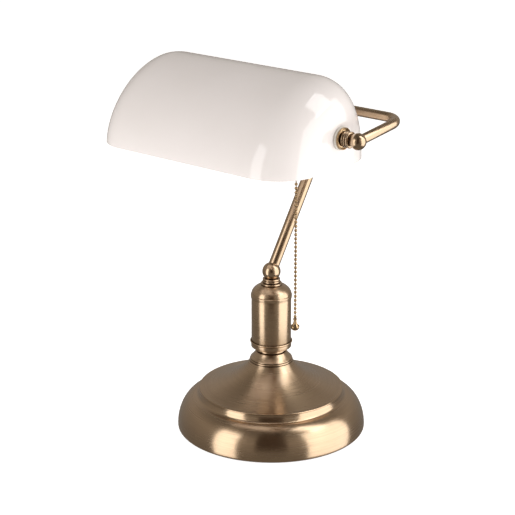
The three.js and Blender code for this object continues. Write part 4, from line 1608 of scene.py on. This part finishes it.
@dataclass(frozen=True)
class Softbox:
    """A soft light that faces a point, with its place as angles about the lamp."""

    name: str
    azimuth: float
    elevation: float
    distance: float
    width: float
    height: float
    power: float
    shows_in_metal: bool = True

    def hang(self, aim: Vector) -> None:
        """Hangs the light so that it faces the aim, in metres."""
        turn, rise = math.radians(self.azimuth), math.radians(self.elevation)
        back = Vector((math.sin(turn) * math.cos(rise), -math.cos(turn) * math.cos(rise), math.sin(rise)))
        facing = back.to_track_quat("Z", "Y").to_euler()
        let_go()
        bpy.ops.object.light_add(type="AREA", location=aim + back * self.distance, rotation=facing)
        light = bpy.context.object
        light.name = self.name
        light.data.shape = "RECTANGLE"
        light.data.size, light.data.size_y = self.width, self.height
        light.data.energy = self.power
        light.visible_glossy = self.shows_in_metal


@dataclass(frozen=True)
class Card:
    """A dark card outside the picture that the metal mirrors and nothing else sees."""

    name: str
    azimuth: float
    distance: float
    width: float
    low: float
    high: float

    def stand(self) -> Object:
        """Stands the card upright, facing the lamp."""
        turn = math.radians(self.azimuth)
        let_go()
        place = (math.sin(turn) * self.distance, -math.cos(turn) * self.distance, (self.low + self.high) / 2)
        bpy.ops.mesh.primitive_plane_add(size=1.0, location=place, rotation=(math.pi / 2, 0, turn))
        card = bpy.context.object
        card.name = self.name
        card.scale = (self.width, self.high - self.low, 1.0)
        settle(card)
        card.visible_camera = False
        card.visible_diffuse = False
        card.visible_shadow = False
        return card


@dataclass
class Studio:
    """A pale floor, soft lights and the camera."""

    floor_size: float = 30.0
    camera_place: Vector = Vector((0.8968, -1.0798, 0.6434))
    camera_turn: tuple[float, float, float] = (math.radians(71.28), 0.0, math.radians(40.24))
    lens: float = 111.67
    room_light: tuple[Point, ...] = ((0.34, 0.20), (0.72, 0.36), (0.96, 0.13))
    room_tint: tuple[float, float, float, float] = (1.0, 0.90, 0.79, 1.0)
    floor_glow: float = 0.8
    sensor: float = 36.0
    aim: Vector = Vector((0.0, -0.02, 0.16))

    def floor(self) -> None:
        """Lays the plain floor."""
        let_go()
        bpy.ops.mesh.primitive_plane_add(size=self.floor_size, location=(0, 0, -0.0002))
        floor = named("floor")
        board = Board("pale_floor")
        cloud = board.noise(board.place(), 2.0, 2.0)
        board.two_tone(cloud, (0.93, 0.93, 0.93), (0.95, 0.95, 0.95))
        board.set(Roughness=0.9, Specular_IOR_Level=0.1)
        board.set(Emission_Color=(1.0, 1.0, 1.0, 1.0), Emission_Strength=self.floor_glow)
        floor.data.materials.append(board.material)
        floor.visible_glossy = False

    def world(self) -> None:
        """Fills the room with light that is strongest over the horizon, as (share of the height, light)."""
        world = bpy.data.worlds.new("studio")
        world.use_nodes = True
        nodes, links = world.node_tree.nodes, world.node_tree.links
        direction = nodes.new("ShaderNodeTexCoord").outputs["Generated"]
        split = nodes.new("ShaderNodeSeparateXYZ")
        shift = nodes.new("ShaderNodeMapRange")
        shift.inputs["From Min"].default_value = -1.0
        links.new(direction, split.inputs[0])
        links.new(split.outputs["Z"], shift.inputs["Value"])
        fade = nodes.new("ShaderNodeValToRGB")
        stops = fade.color_ramp.elements
        for stop, (height, light) in zip((stops[0], stops.new(0.5), stops[-1]), self.room_light):
            stop.position = height
            stop.color = (light, light, light, 1.0)
        links.new(shift.outputs[0], fade.inputs[0])
        links.new(fade.outputs[0], nodes["Background"].inputs["Strength"])
        nodes["Background"].inputs["Color"].default_value = self.room_tint
        bpy.context.scene.world = world

    def lights(self) -> None:
        """Hangs the soft lights and stands the dark card by the camera."""
        for box in (
            Softbox("left_softbox", -16.0, 2.0, 1.2, 0.62, 1.8, 7.0),
            Softbox("right_softbox", 114.0, 4.0, 1.2, 1.4, 1.9, 16.0),
            Softbox("overhead", 118.0, 54.0, 1.6, 0.6, 1.0, 5.5),
            Softbox("fill", -20.0, 52.0, 1.6, 1.4, 1.2, 5.5, shows_in_metal=False),
        ):
            box.hang(self.aim)
        board = Board("dark_card")
        cloud = board.noise(board.place(), 3.0)
        board.surface("Base Color", board.blend(cloud, (0.040, 0.024, 0.014), (0.050, 0.030, 0.018)))
        card = Card("camera_card", 40.0, 1.1, 0.75, 0.0, 2.4).stand()
        card.data.materials.append(board.material)

    def camera(self) -> None:
        """Sets the camera up."""
        let_go()
        bpy.ops.object.camera_add(location=self.camera_place, rotation=self.camera_turn)
        camera = bpy.context.object
        camera.name = "camera"
        camera.data.lens = self.lens
        camera.data.sensor_width = self.sensor
        camera.data.clip_start = 0.01
        bpy.context.scene.camera = camera

    def make(self) -> None:
        """Builds the studio."""
        self.camera()
        self.floor()
        self.world()
        self.lights()
        bpy.context.scene.view_settings.view_transform = "Standard"


def main() -> None:
    """Builds the lamp piece by piece, then the studio round it."""
    logging.basicConfig(level=logging.INFO, format="%(message)s")
    stem = Stem()
    parts: Iterable[Any] = (
        Foot(),
        Column(),
        stem,
        *(YokeArm(side, stem.bar) for side in Side),
        *(Pivot(side) for side in Side),
        Shade(),
        Lampholder(),
        PullChain(),
        Studio(),
    )
    for part in parts:
        part.make()
        log.info("%s done", type(part).__name__)


if __name__ == "__main__":
    main()
